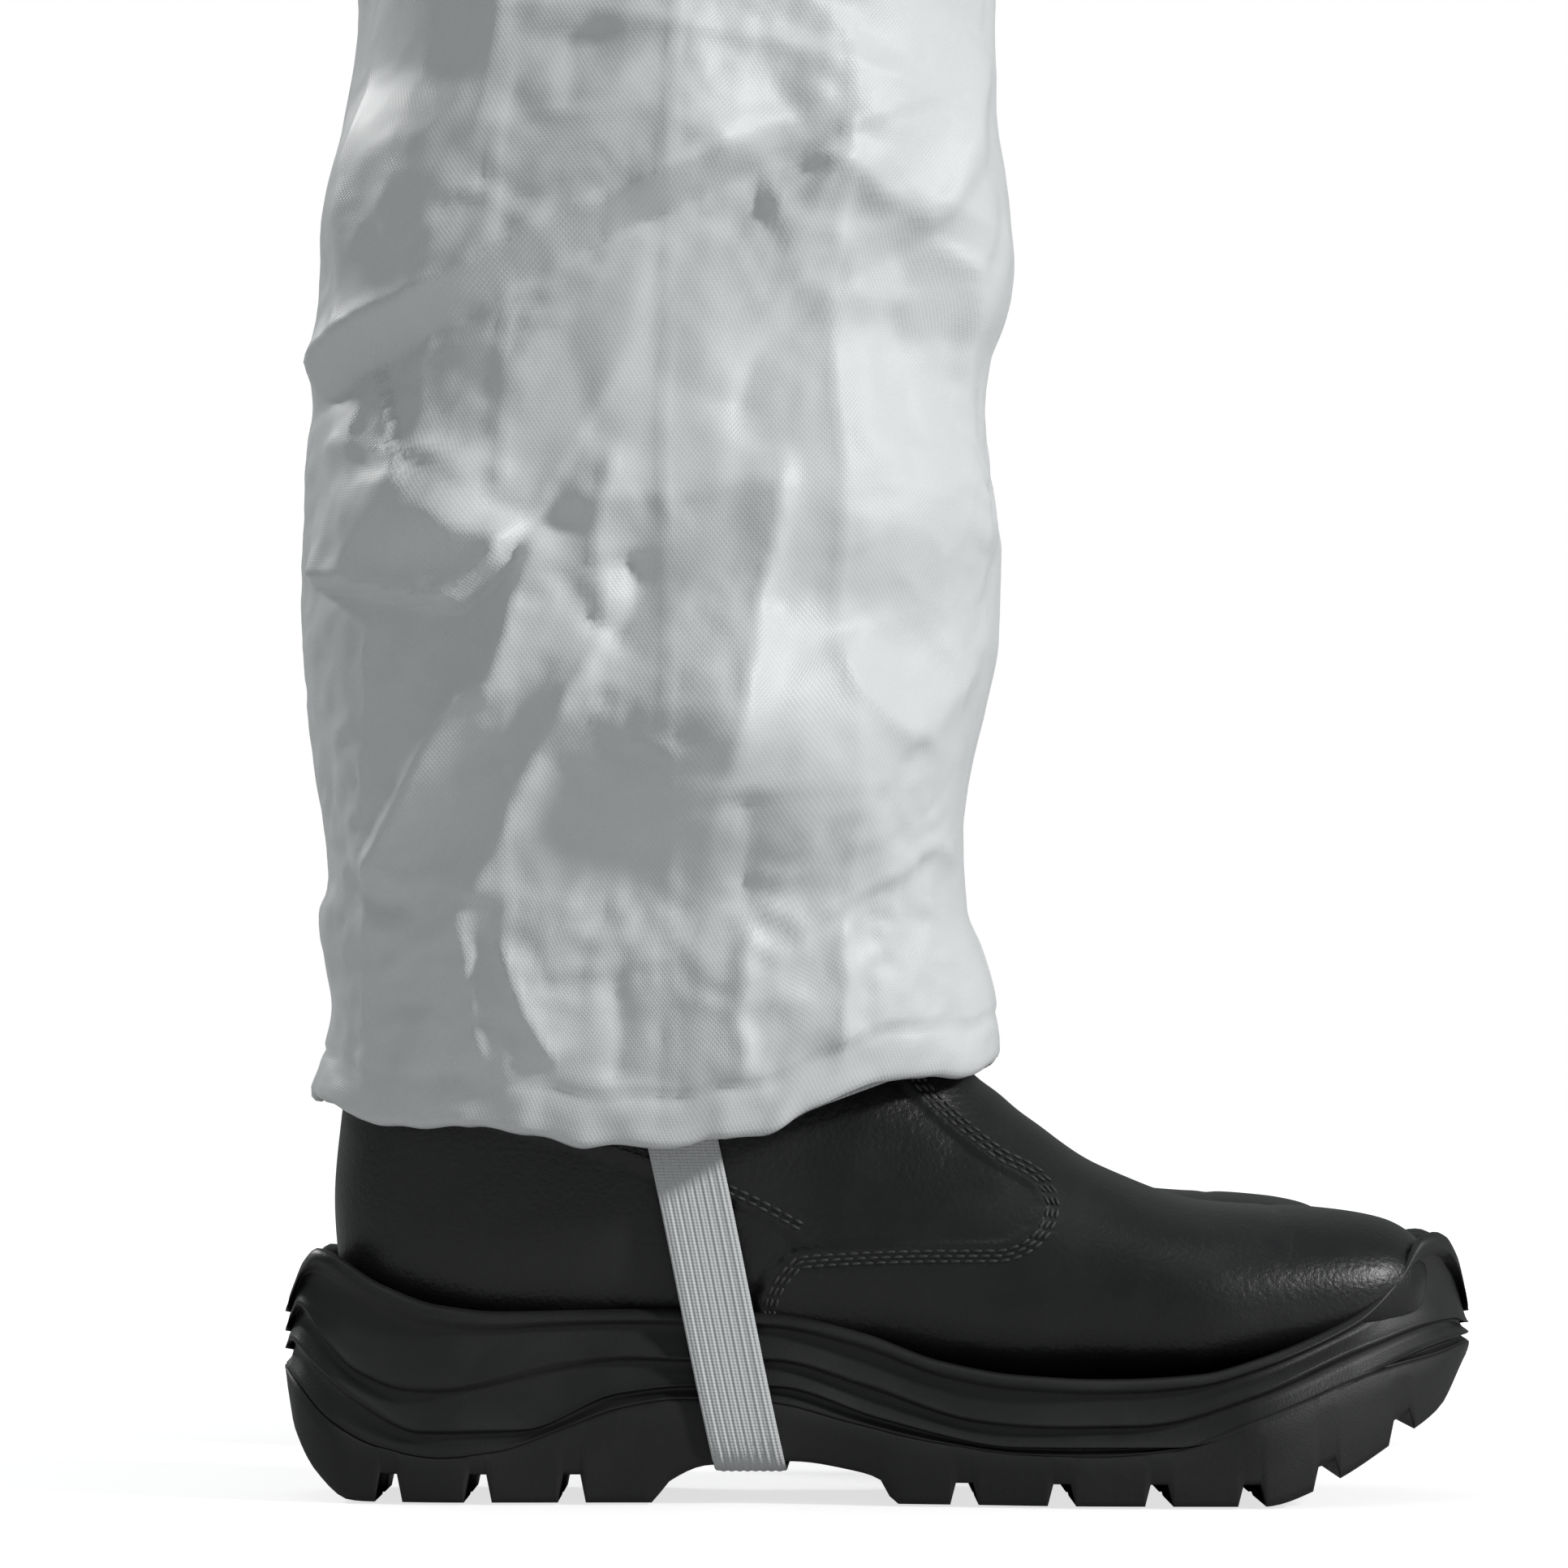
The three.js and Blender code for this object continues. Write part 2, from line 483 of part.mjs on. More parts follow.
// Elastic ring in the trouser hem.
function hemElastic(side) {
  const surface = (inset) => (u, v) => {
    const angle = 2 * Math.PI * u;
    const hem = hemBack(legPoint(angle, HEM.front, 0)[0]);
    return legPoint(angle, hem + 2 + HEM.elastic * v, inset);
  };
  const face = FABRIC + FIT + HEM.ease;
  const ring = sheetGeometry(surface(face), surface(face + HEM.thickness), 2 * LEG_SIDES, 1, true);
  return piece(sided(side, "ankle_elastic"), ring, ELASTIC);
}

// Stirrup: from inside the hem on the outer side, under the arch of the boot, up to the hem again.
function stirrup(side) {
  const inHem = legHalf(STRAP.top) - FABRIC - STRAP.tuck;
  const inRing = legHalf(HEM.front) - FABRIC - HEM.ease - HEM.thickness - STRAP.tuck - FIT;
  const underX = STRAP.middleX + (STRAP.middleZ - STRAP.underZ) * STRAP.lean;
  const ankle = along(LAST.map(([[x], , half]) => [x, half]).reverse());
  const soleHalf = [along(SOLE_OUTER), along(SOLE_INNER)].map((half) => half(underX - STRAP.width / 2));
  const leg = (half) => {
    const upper = Math.max(half, ankle(STRAP.middleX)) + STRAP.ease;
    return [[inHem, STRAP.top], [inHem, STRAP.top - 6], [inRing, HEM.front + 1], [inRing - 2, HEM.middle + 4],
      [upper + 2, 78], [upper, 56], [mix(half + STRAP.ease, upper, 0.5), 44], [half + STRAP.ease, 30],
      [half + STRAP.ease, 15]];
  };
  const bend = (half) => [[half - 1, STRAP.underZ + 1.5], [half - 5, STRAP.underZ]];
  const outer = [...leg(soleHalf[0]), ...bend(soleHalf[0])];
  const inner = [...leg(soleHalf[1]), ...bend(soleHalf[1])].map(([y, z]) => [-y, z]).reverse();
  const path = [...outer, ...inner].map(([y, z]) => new THREE.Vector2(y, z));
  const normals = path.map((point, i) => {
    const run = path[Math.min(i + 1, path.length - 1)].clone().sub(path[Math.max(i - 1, 0)]).normalize();
    return new THREE.Vector2(-run.y, run.x);
  });
  const surface = (shift) => (u, v) => {
    const k = Math.round(v * (path.length - 1));
    const point = path[k].clone().addScaledVector(normals[k], shift);
    const x = STRAP.middleX + (STRAP.middleZ - point.y) * STRAP.lean + (u - 0.5) * STRAP.width;
    return [x, -STANCE - point.x, point.y];
  };
  const half = STRAP.thickness / 2;
  const strip = sheetGeometry(surface(half), surface(-half), 1, path.length - 1, false);
  return piece(sided(side, "stirrup_strap"), strip, ELASTIC);
}

// Upper sleeve and forearm sleeve, parted at the elbow on a drum.
function sleeves(side) {
  const last = SLEEVE.length - 1;
  const tube = (from, to, rows, inset, thickness) => {
    const surface = (depth) => (u, v) => sleevePoint(2 * Math.PI * u, mix(from, to, v), depth);
    return sheetGeometry(surface(inset), surface(inset + thickness), SLEEVE_SIDES, rows, true);
  };
  const elbowDrum = (radius) => solid(drum(ELBOW, radius, -400, 0));
  const upper = solid(tube(0, 7, 7, 0, FABRIC)).subtract(elbowDrum(ELBOW.radius + SEAM));
  const above = solid(block([-300, -400, ELBOW.z], [300, 0, 2000])).subtract(elbowDrum(ELBOW.radius));
  const lower = solid(tube(4.5, last, 5, 0, FABRIC)).subtract(above);
  const lastSpacing = SLEEVE.at(-2)[0][1] - SLEEVE.at(-1)[0][1];
  const cuffStart = last - CUFF.height / lastSpacing;
  const cuff = tube(cuffStart, last - 0.05, 1, FABRIC + FIT + 0.3, CUFF.thickness);
  return {
    upper: piece(sided(side, "upper_sleeve"), geometry(upper), WHITE_FABRIC),
    lower: [piece(sided(side, "forearm_sleeve"), geometry(lower), WHITE_FABRIC),
      piece(sided(side, "cuff_elastic"), cuff, ELASTIC)],
  };
}

// ---------------------------------------------------------------- right boot, about its own middle
function lastRing([sole, instep, half], inset) {
  const middle = [(sole[0] + instep[0]) / 2, (sole[1] + instep[1]) / 2];
  const length = Math.hypot(instep[0] - sole[0], instep[1] - sole[1]);
  const run = [(instep[0] - sole[0]) / length, (instep[1] - sole[1]) / length];
  return Array.from({ length: LAST_SIDES }, (_, i) => {
    const [up, out] = squircle((2 * Math.PI * i) / LAST_SIDES, 1, 1, SQUARENESS.last);
    const lowered = (up - LAST_SAG * (1 - up * up)) * Math.max(length / 2 - inset, LAST_LEAST);
    const y = -out * Math.max(half - inset, LAST_LEAST);
    return [middle[0] + run[0] * lowered, y, middle[1] + run[1] * lowered];
  });
}

// The space inside the boot's skin at a given depth; a raised one runs out through the collar.
function lastSolid(inset, raise = 0) {
  const rings = LAST.map((section, i) => lastRing(section, inset)
    .map(([x, y, z]) => [x - inset * (NOSE_DRAW[i] ?? 0), y, z]));
  if (raise) rings.push(rings.at(-1).map(([x, y, z]) => [x, y, z + raise]));
  return solid(ringGeometry(rings));
}

// One layer of the sole between two side profiles; steps give (share of the height, inset).
function soleLayer(low, high, steps) {
  const [bottom, top] = [along(low), along(high)];
  const [outer, inner] = [along(SOLE_OUTER), along(SOLE_INNER)];
  const stations = SOLE_OUTER.flatMap(([x], i) => (i + 1 < SOLE_OUTER.length
    ? [x, (x + SOLE_OUTER[i + 1][0]) / 2] : [x]));
  const ring = ([share, inset]) => {
    const shrink = 1 - inset / SOLE_OUTER.at(-1)[0];
    const edge = (half, sign) => (x) => {
      const y = sign * Math.max(half(x) - inset, 0);
      return [x * shrink, y, mix(bottom(x), top(x), share)];
    };
    const back = stations.slice(1, -1).reverse();
    return [...stations.map(edge(outer, -1)), ...back.map(edge(inner, 1))];
  };
  return solid(ringGeometry(steps.map(ring)));
}

function boot(side) {
  const group = new THREE.Group();
  const add = (name, made, material) => {
    group.add(piece(sided(side, `boot_${name}`), geometry(made), material));
  };
  const skin = lastSolid(0).subtract(lastSolid(LEATHER, 10));
  const wide = (outline, shift = [0, 0]) =>
    solid(acrossPrism(outline.map(([x, z]) => [x + shift[0], z + shift[1]]), -90, 90));
  const vampSide = [...VAMP_EDGE, [200, 200], [200, 0]];
  const quarterSide = [...QUARTER_EDGE, [-200, 0], [-20, 0]];
  const behindVamp = skin.subtract(wide(vampSide, [-2 * FIT, FIT]));
  add("vamp", skin.intersect(wide(vampSide)), BLACK_LEATHER);
  add("heel_quarter", behindVamp.intersect(wide(quarterSide)), BLACK_LEATHER);
  add("ankle_shaft", behindVamp.subtract(wide(quarterSide, [FIT, FIT])), BLACK_LEATHER);

  const inside = LEATHER + LINING;
  const cup = wide([...TOE_STEEL_EDGE, [200, 200], [TOE_STEEL_EDGE[0][0], 200]]);
  add("toe_cap", lastSolid(inside).subtract(lastSolid(inside + TOE_STEEL)).intersect(cup), STEEL);
  add("insole", lastSolid(inside).intersect(solid(block([-200, -90, 0], [200, 90, FOOTBED_Z]))), FELT);

  const parting = SOLE_PARTING.map(([x, z]) => [x, z + FIT / 2]);
  const belowParting = SOLE_PARTING.map(([x, z]) => [x, z - FIT / 2]);
  const foam = soleLayer(parting, SOLE_TOP, [[0, 1.5], [0.3, 0], [0.8, 1], [1, 3.5]]);
  add("midsole", foam.subtract(lastSolid(-BONDED, 30)), MIDSOLE_FOAM);
  const tread = GROOVES.reduce((made, x) => {
    const floor = along(SOLE_TREAD)(x);
    const notch = [[x - GROOVE.mouth / 2 - 1, floor - 3], [x + GROOVE.mouth / 2 + 1, floor - 3],
      [x + GROOVE.floor / 2, floor + GROOVE.depth], [x - GROOVE.floor / 2, floor + GROOVE.depth]];
    return made.subtract(wide(notch));
  }, soleLayer(SOLE_TREAD, belowParting, [[0, 3], [0.25, 1], [1, 0.6]]));
  add("outsole", tread, TREAD_RUBBER);

  const tabX = LAST.at(-1)[0][0] + LEATHER + TAB.hollow;
  const tab = solid(block([tabX, -TAB.width / 2, COLLAR_Z - TAB.drop],
    [tabX + TAB.thickness, TAB.width / 2, COLLAR_Z + TAB.rise]));
  add("pull_tab", tab, WEBBING);
  return group.translateY(-STANCE);
}

// ---------------------------------------------------------------- the figure
function rightLimbs(side) {
  const group = new THREE.Group();
  const { thigh, shin } = legPanels(side);
  const { upper, lower } = sleeves(side);
  group.add(thigh, shin, hemElastic(side), stirrup(side), boot(side), upper, ...lower);
  return group;
}

const figure = new THREE.Group();
const left = rightLimbs("left");
left.scale.y = -1;
figure.add(trunk(), zipParts(), stormFlap(), hood(), rightLimbs("right"), left);

const bounds = new THREE.Box3().setFromObject(figure);
figure.position.x = -(bounds.min.x + bounds.max.x) / 2;
const suit = new THREE.Group();
suit.add(figure);

export default suit;
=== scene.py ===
import math

import bmesh
import bpy
import numpy as np
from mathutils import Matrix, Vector
from mathutils.bvhtree import BVHTree


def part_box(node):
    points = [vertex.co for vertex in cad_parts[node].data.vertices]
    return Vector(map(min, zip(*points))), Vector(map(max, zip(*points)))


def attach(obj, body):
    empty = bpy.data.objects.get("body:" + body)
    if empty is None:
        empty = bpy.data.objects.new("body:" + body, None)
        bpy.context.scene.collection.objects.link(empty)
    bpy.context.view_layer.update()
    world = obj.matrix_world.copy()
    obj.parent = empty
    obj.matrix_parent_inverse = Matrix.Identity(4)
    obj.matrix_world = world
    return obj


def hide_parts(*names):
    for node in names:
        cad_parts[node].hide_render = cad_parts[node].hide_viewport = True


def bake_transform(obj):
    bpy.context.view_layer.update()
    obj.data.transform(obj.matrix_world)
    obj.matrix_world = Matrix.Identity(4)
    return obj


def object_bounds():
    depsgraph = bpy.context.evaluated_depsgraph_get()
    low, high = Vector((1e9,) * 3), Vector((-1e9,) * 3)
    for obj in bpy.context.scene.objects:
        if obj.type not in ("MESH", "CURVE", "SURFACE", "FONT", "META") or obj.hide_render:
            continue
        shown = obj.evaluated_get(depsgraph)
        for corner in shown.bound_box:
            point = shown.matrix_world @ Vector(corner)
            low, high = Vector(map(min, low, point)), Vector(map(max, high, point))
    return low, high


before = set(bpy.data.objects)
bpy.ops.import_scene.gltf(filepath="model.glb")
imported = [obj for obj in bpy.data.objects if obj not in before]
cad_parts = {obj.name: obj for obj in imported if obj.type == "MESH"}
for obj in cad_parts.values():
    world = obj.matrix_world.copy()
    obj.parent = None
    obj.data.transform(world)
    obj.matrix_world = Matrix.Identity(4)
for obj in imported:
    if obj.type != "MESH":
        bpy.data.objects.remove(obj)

# A hooded chemical protective coverall standing in its safety boots: the fabric, the zip and its flap, the
# elastics, the leather boots and the studio around them. Tables and names in MM hold millimetres, measured
# from the middle of a boot along X, from the figure's middle along Y, and from the floor.

bl_info = {
    "name": "Chemical Protective Suit",
    "version": (1, 0, 0),
    "blender": (4, 5, 0),
    "location": "View3D > Sidebar > Suit",
    "description": "Builds a hooded protective coverall and its safety boots around a packed frame",
    "category": "Object",
}

MM = 0.001
FRAME_LOW, FRAME_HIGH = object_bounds()


def middle(node):
    low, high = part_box(node)
    return (low + high) / 2


def top_mm(node):
    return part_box(node)[1].z / MM


def bottom_mm(node):
    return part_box(node)[0].z / MM


SHIFT = middle("right_boot_outsole").x  # from a boot's middle to the frame's origin, metres
STANCE = -middle("right_boot_pull_tab").y / MM
CROTCH_Z = bottom_mm("seat_back")
NECK_Z = top_mm("upper_back")
HOOD_TOP_Z = top_mm("hood_middle_panel")
FLOOR = FRAME_LOW.z
SIDES = {"right": 1, "left": -1}

# ------------------------------------------------------------------ sizes of the garment, millimetres
CHEST_X = 78
LEG_SQUARENESS = 2.3
HOOD_SQUARENESS = 2.3
BODY_SQUARENESS = 3.0
# Leg by height: back, front.
LEG_BACK = [(95, -144.5), (102, -145), (112, -142), (126, -140), (138, -141.5), (150, -143), (158, -140.5),
            (186, -144), (206, -146), (227, -147), (259, -146.5), (280, -145), (311, -142.5), (342, -139.5),
            (384, -133), (450, -136), (505, -140), (600, -150), (700, -163), (790, -170)]
LEG_FRONT = [(95, 31), (111, 30.5), (119, 29.5), (126, 28), (133, 26), (144, 22.5), (163, 22), (175, 23),
             (196, 27.5), (215, 31), (238, 31.5), (248, 30), (259, 28.5), (275, 27.5), (290, 29), (300, 32.5),
             (315, 35), (332, 34), (353, 31), (384, 29.5), (450, 36), (505, 43), (600, 55), (700, 66), (790, 74)]
LEG_HALF = [(89, 56), (103, 58), (126, 62), (158, 67), (190, 71), (227, 75), (262, 77), (311, 79), (384, 81),
            (450, 83), (505, 85), (600, 89), (700, 92), (790, 93)]
LEG_MIDDLE = [(89, 115), (190, 115), (227, 114), (262, 113), (311, 112), (384, 110), (450, 108), (505, 106),
              (600, 103), (700, 100), (790, 97)]
HEM_EDGE = [(-150, 103), (-143, 101.5), (-121, 95), (-92, 93.5), (-69, 90), (-48, 89), (-42, 91), (-25, 94.5),
            (-17, 99.5), (4, 106), (25, 108.5), (31, 111), (40, 111)]
# Trunk by height: back, half width.
BODY_BACK = [(790, -172), (880, -186), (960, -190), (1040, -172), (1100, -150), (1180, -158), (1240, -168),
             (1288, -178), (1380, -188), (1448, -186), (1490, -168), (1530, -130), (1562, -108)]
BODY_HALF = [(790, 190), (880, 198), (960, 202), (1040, 190), (1100, 172), (1180, 184), (1240, 198),
             (1288, 205), (1380, 205), (1448, 204), (1490, 178), (1530, 122), (1562, 92)]
# Hood by height: back, front, half width.
HOOD_BACK = [(1545, -112), (1562, -110), (1600, -128), (1660, -140), (1710, -138), (1745, -126), (1775, -104),
             (1797, -78), (1808, -56), (1812, -36)]
HOOD_FRONT = [(1545, 76), (1562, 78), (1600, 77), (1660, 75), (1710, 69), (1745, 59), (1775, 42), (1797, 20),
              (1808, 2), (1812, -14)]
HOOD_HALF = [(1545, 94), (1562, 94), (1600, 100), (1660, 107), (1710, 105), (1745, 95), (1775, 78), (1797, 54),
             (1808, 34), (1812, 12)]
FACE = {"z": 1662, "half_height": 86, "half_width": 70, "x": 60}
# Sleeve sections from the armhole to the wrist: inner edge (out, up), outer edge (out, up), half depth.
SLEEVE = [((205, 1287), (205, 1463), 86), ((207, 1284), (246, 1452), 82), ((209, 1281), (286, 1418), 79),
          ((210, 1277), (318, 1368), 75), ((211.5, 1270), (336, 1302), 71), ((216, 1222), (342, 1234), 68),
          ((226, 1160), (347, 1168), 66), ((233, 1100), (349, 1106), 65), ((240, 1040), (350, 1045), 63),
          ((249, 960), (349, 964), 57), ((258, 890), (345, 893), 49), ((263, 850), (341, 852), 43)]
SLEEVE_SPLIT = 5.2  # the section where the upper sleeve's fabric meets the forearm's
SHOULDER = {"x": -55, "z": 1375, "hole": 84}
WAIST_Z = 1100
FLAP = {"hinge": 30, "free": 28, "lift": 7.5, "ramp": 8, "turn_in": 10, "edge_lift": 2.4, "thickness": 1.4}


# ------------------------------------------------------------------ curves and noise
def through(points):
    """Smooth function through (x, y) points that doesn't overshoot, for numbers or arrays."""
    x, y = np.array(points, float).T
    run = np.diff(x)
    rise = np.diff(y) / run
    slope = np.zeros_like(x)
    both = rise[:-1] * rise[1:]
    slope[1:-1] = np.where(both > 0, 2 * both / np.where(both > 0, rise[:-1] + rise[1:], 1), 0)

    def value(at):
        at = np.clip(np.asarray(at, float), x[0], x[-1])
        i = np.clip(np.searchsorted(x, at, "right") - 1, 0, len(x) - 2)
        t = (at - x[i]) / run[i]
        s = t * t * (3 - 2 * t)
        bend = slope[i] * t * (1 - t) ** 2 - slope[i + 1] * t * t * (1 - t)
        return y[i] + (y[i + 1] - y[i]) * s + run[i] * bend

    return value


def ease(low, high, value):
    """0 before low, 1 after high, smooth between them."""
    t = np.clip((np.asarray(value, float) - low) / (high - low), 0, 1)
    return t * t * (3 - 2 * t)


def noise(points, size, seed):
    """Gradient noise from about -1 to 1, with one cell to each size."""
    p = np.asarray(points, float) / size + 100.0
    cell = np.floor(p).astype(np.int64)
    f = p - cell
    u = f * f * f * (f * (f * 6 - 15) + 10)
    total = np.zeros(p.shape[:-1])
    for corner in np.ndindex(2, 2, 2):
        c = cell + np.array(corner)
        key = (c[..., 0] * 73856093) ^ (c[..., 1] * 19349663) ^ (c[..., 2] * 83492791) ^ (seed * 39916801)
        key = ((key ^ (key >> 13)) * 1274126177) & 0x7FFFFFFF
        key = ((key ^ (key >> 15)) * 1103515245) & 0x7FFFFFFF
        slopes = np.stack([key & 1023, (key >> 10) & 1023, (key >> 20) & 1023], -1) / 511.5 - 1
        weight = np.prod(np.where(np.array(corner) == 1, u, 1 - u), -1)
        total += weight * np.sum(slopes * (f - np.array(corner)), -1)
    return total * 1.4


def sharp(value, blunt=0.05):
    """Turns smooth noise into creases: 1 on its zero line and falling away on both sides."""
    return 1 - np.sqrt(value * value + blunt * blunt) * 2


def crumple(points, seed, size=46.0):
    """Height in millimetres of creased fabric at points in millimetres."""
    warp = np.stack([noise(points, size * 1.3, seed + k) for k in range(3)], -1) * size * 0.35
    bent = points + warp
    stretched = bent * np.array([1, 1, 0.72])
    large = sharp(noise(stretched, size, seed + 3)) * 1.9
    second = sharp(noise(stretched[..., [1, 2, 0]], size * 0.62, seed + 4)) * -1.1
    small = sharp(noise(bent, size * 0.3, seed + 5), 0.08) * 0.42
    fine = sharp(noise(bent, size * 0.14, seed + 6), 0.1) * 0.17
    patchy = ease(-0.25, 0.45, noise(points, size * 1.7, seed + 7))
    return large + second + (small + fine) * (0.35 + patchy)


# ------------------------------------------------------------------ meshes
def place(points):
    """Millimetres about the boots' middle to the frame's metres."""
    return np.asarray(points, float) * MM + np.array([SHIFT, 0, 0])


def new_object(name, vertices, faces, material, uvs=None, smooth=True):
    mesh = bpy.data.meshes.new(name)
    mesh.from_pydata([tuple(v) for v in vertices], [], faces)
    made = bpy.data.objects.new(name, mesh)
    bpy.context.scene.collection.objects.link(made)
    mesh.materials.append(material)
    if uvs is not None:
        layer = mesh.uv_layers.new(name="fabric")
        layer.data.foreach_set("uv", np.asarray(uvs, np.float32).ravel())
    mesh.shade_smooth() if smooth else mesh.shade_flat()
    return made


def grid_faces(rows, columns, closed):
    """Quads of a grid, and the same corners as (row, column) with the last column not wrapped."""
    across = columns if closed else columns - 1
    r, c = np.meshgrid(np.arange(rows - 1), np.arange(across), indexing="ij")
    corners = np.stack([np.stack([r, c], -1), np.stack([r, c + 1], -1),
                        np.stack([r + 1, c + 1], -1), np.stack([r + 1, c], -1)], -2).reshape(-1, 4, 2)
    index = corners[..., 0] * columns + corners[..., 1] % columns
    return index, corners


def grid_object(name, points, material, closed=True, flip=False):
    """Object from a grid of points, with a UV map in metres along the rows and columns."""
    rows, columns = points.shape[:2]
    index, corners = grid_faces(rows, columns, closed)
    wrapped = np.concatenate([points, points[:, :1]], 1) if closed else points
    run = np.linalg.norm(np.diff(wrapped, axis=1), axis=-1).mean(0)
    rise = np.linalg.norm(np.diff(wrapped, axis=0), axis=-1).mean(1)
    u = np.concatenate([[0], np.cumsum(run)])
    v = np.concatenate([[0], np.cumsum(rise)])
    uvs = np.stack([u[corners[..., 1]], v[corners[..., 0]]], -1)
    if flip:
        index, uvs = index[:, ::-1], uvs[:, ::-1]
    return new_object(name, points.reshape(-1, 3), index.tolist(), material, uvs.reshape(-1, 2))


def normals_of(points, closed=True):
    """Outward unit normals of a grid whose columns run clockwise seen from above and rows upward."""
    if closed:
        across = np.roll(points, -1, 1) - np.roll(points, 1, 1)
    else:
        across = np.gradient(points, axis=1)
    up = np.gradient(points, axis=0)
    made = np.cross(up, across)
    length = np.linalg.norm(made, axis=-1, keepdims=True)
    return made / np.maximum(length, 1e-9)


def oval(back, front, half, squareness, count):
    """Points round a squared oval, evenly spaced in each quarter: from the front, then the -Y side."""
    angle = np.linspace(0, np.pi / 2, 90)
    c = np.cos(angle) ** (2 / squareness)
    s = np.sin(angle) ** (2 / squareness)
    c[-1] = 0
    a = (front - back) / 2
    x, y = a * c, half * s
    length = np.concatenate([[0], np.cumsum(np.hypot(np.diff(x), np.diff(y)))])
    even = np.linspace(0, length[-1], count // 4 + 1)[:-1]
    qx, qy = np.interp(even, length, x), np.interp(even, length, y)
    rx, ry = np.interp(length[-1] - even, length, x), np.interp(length[-1] - even, length, y)
    xs = np.concatenate([qx, -rx, -qx, rx])
    ys = np.concatenate([-qy, -ry, qy, ry])
    return np.stack([xs + (front + back) / 2, ys], -1)


def mirrored(grid):
    return grid * np.array([1, -1, 1])


def on_side(side, points):
    """Points of the right half as they are, or mirrored for the left."""
    return points if side == "right" else mirrored(points)


# ------------------------------------------------------------------ folds of the trouser legs
# Each crease: kind, height mm, widths mm on its upper and lower side, and its (x, z) points from the side.
LEG_CREASES = [
    ("pleat", 5.5, 34, 8, [(-152, 270), (-140, 277), (-109, 291), (-71, 311), (-50, 320), (-19, 335)]),
    ("ridge", 2.6, 9, 5, [(-19, 335), (-14, 331), (-17, 326), (-30, 321)]),
    ("ridge", 3.4, 16, 9, [(28, 372), (22, 350), (12, 316)]),
    ("valley", 2.6, 12, 14, [(12, 316), (-8, 303), (-30, 286), (-37, 262)]),
    ("ridge", 2.2, 9, 12, [(12, 316), (-2, 325), (-17, 333)]),
    ("ridge", 2.6, 12, 5, [(12, 316), (22, 308), (20, 285), (23, 262), (29, 235)]),
    ("valley", 0.9, 6, 10, [(4, 300), (8, 280), (3, 262)]),
    ("crinkle", 1.3, 4, 5, [(-103, 372), (-75, 371), (-46, 364), (-12, 358), (18, 349)]),
    ("ridge", 1.1, 3, 6, [(-92, 390), (-94, 358), (-96, 334)]),
    ("valley", 1.2, 8, 8, [(-76, 366), (-75, 343)]),
    ("ridge", 1.0, 3, 6, [(-11, 390), (-14, 362), (-19, 337)]),
    ("crinkle", 1.6, 5, 5, [(-141, 265), (-109, 261), (-85, 253)]),
    ("crinkle", 1.4, 4, 5, [(-80, 248), (-46, 249), (-25, 256)]),
    ("ridge", 3.6, 5, 16, [(-25, 262), (-27, 240), (-33, 210), (-39, 180)]),
    ("shelf", 5.0, 30, 2.5, [(-146, 231), (-128, 227), (-105, 221), (-92, 231), (-85, 243)]),
    ("ridge", 3.2, 9, 5, [(-85, 243), (-90, 222), (-97, 196)]),
    ("ridge", 3.6, 10, 5, [(-97, 205), (-107, 194), (-118, 172), (-128, 152)]),
    ("ridge", 3.4, 10, 6, [(-68, 215), (-82, 190), (-92, 168), (-103, 143)]),
    ("ridge", 2.0, 7, 4, [(-66, 262), (-70, 240), (-68, 215)]),
    ("valley", 2.6, 6, 8, [(-62, 236), (-60, 222), (-68, 212)]),
    ("crinkle", 1.7, 5, 4, [(-25, 141), (-6, 153), (12, 165), (20, 159)]),
    ("ridge", 2.2, 9, 5, [(-16, 214), (-4, 196), (5, 189)]),
    ("ridge", 1.8, 8, 4, [(5, 189), (24, 212)]),
    ("valley", 2.0, 9, 7, [(-36, 178), (-34, 160), (-33, 146)]),
    ("ridge", 1.8, 3, 5, [(-112, 124), (-114, 98)]),
    ("ridge", 2.2, 3, 6, [(-104, 148), (-99, 128), (-97, 108)]),
    ("ridge", 2.2, 5, 3, [(-94, 140), (-86, 122), (-80, 108)]),
    ("ridge", 1.7, 3, 5, [(-34, 143), (-35, 120), (-34, 104)]),
    ("ridge", 1.6, 3, 5, [(-11, 145), (-10, 128), (-12, 112)]),
    ("valley", 2.0, 6, 6, [(-66, 134), (-64, 118), (-66, 104)]),
    ("ridge", 1.5, 4, 5, [(19, 268), (25, 238), (30, 207)]),
]
# The full, smooth swelling above the ankle: (x, z) of its middle, half sizes and height.
LEG_SWELL = [(-30, 186, 56, 42, 8.5), (-4, 250, 32, 42, 4.5), (-118, 330, 36, 30, 3.0), (-60, 340, 40, 24, 2.5),
             (-112, 248, 26, 18, 3.5), (-8, 345, 26, 26, 2.0)]


def beside(x, z, line):
    """Signed distance to a line of points, and how far along it the nearest point is, from 0 to 1."""
    line = np.array(line, float)
    steps = np.diff(line, axis=0)
    lengths = np.hypot(*steps.T)
    starts = np.concatenate([[0], np.cumsum(lengths)])
    best = np.full(x.shape, 1e9)
    side = np.zeros(x.shape)
    share = np.zeros(x.shape)
    for k, (start, step, length) in enumerate(zip(line, steps, lengths)):
        dx, dz = x - start[0], z - start[1]
        t = np.clip((dx * step[0] + dz * step[1]) / length**2, 0, 1)
        away = np.hypot(dx - t * step[0], dz - t * step[1])
        nearer = away < best
        best = np.where(nearer, away, best)
        side = np.where(nearer, np.sign(step[0] * dz - step[1] * dx), side)
        share = np.where(nearer, (starts[k] + t * length) / starts[-1], share)
    return best * side, share


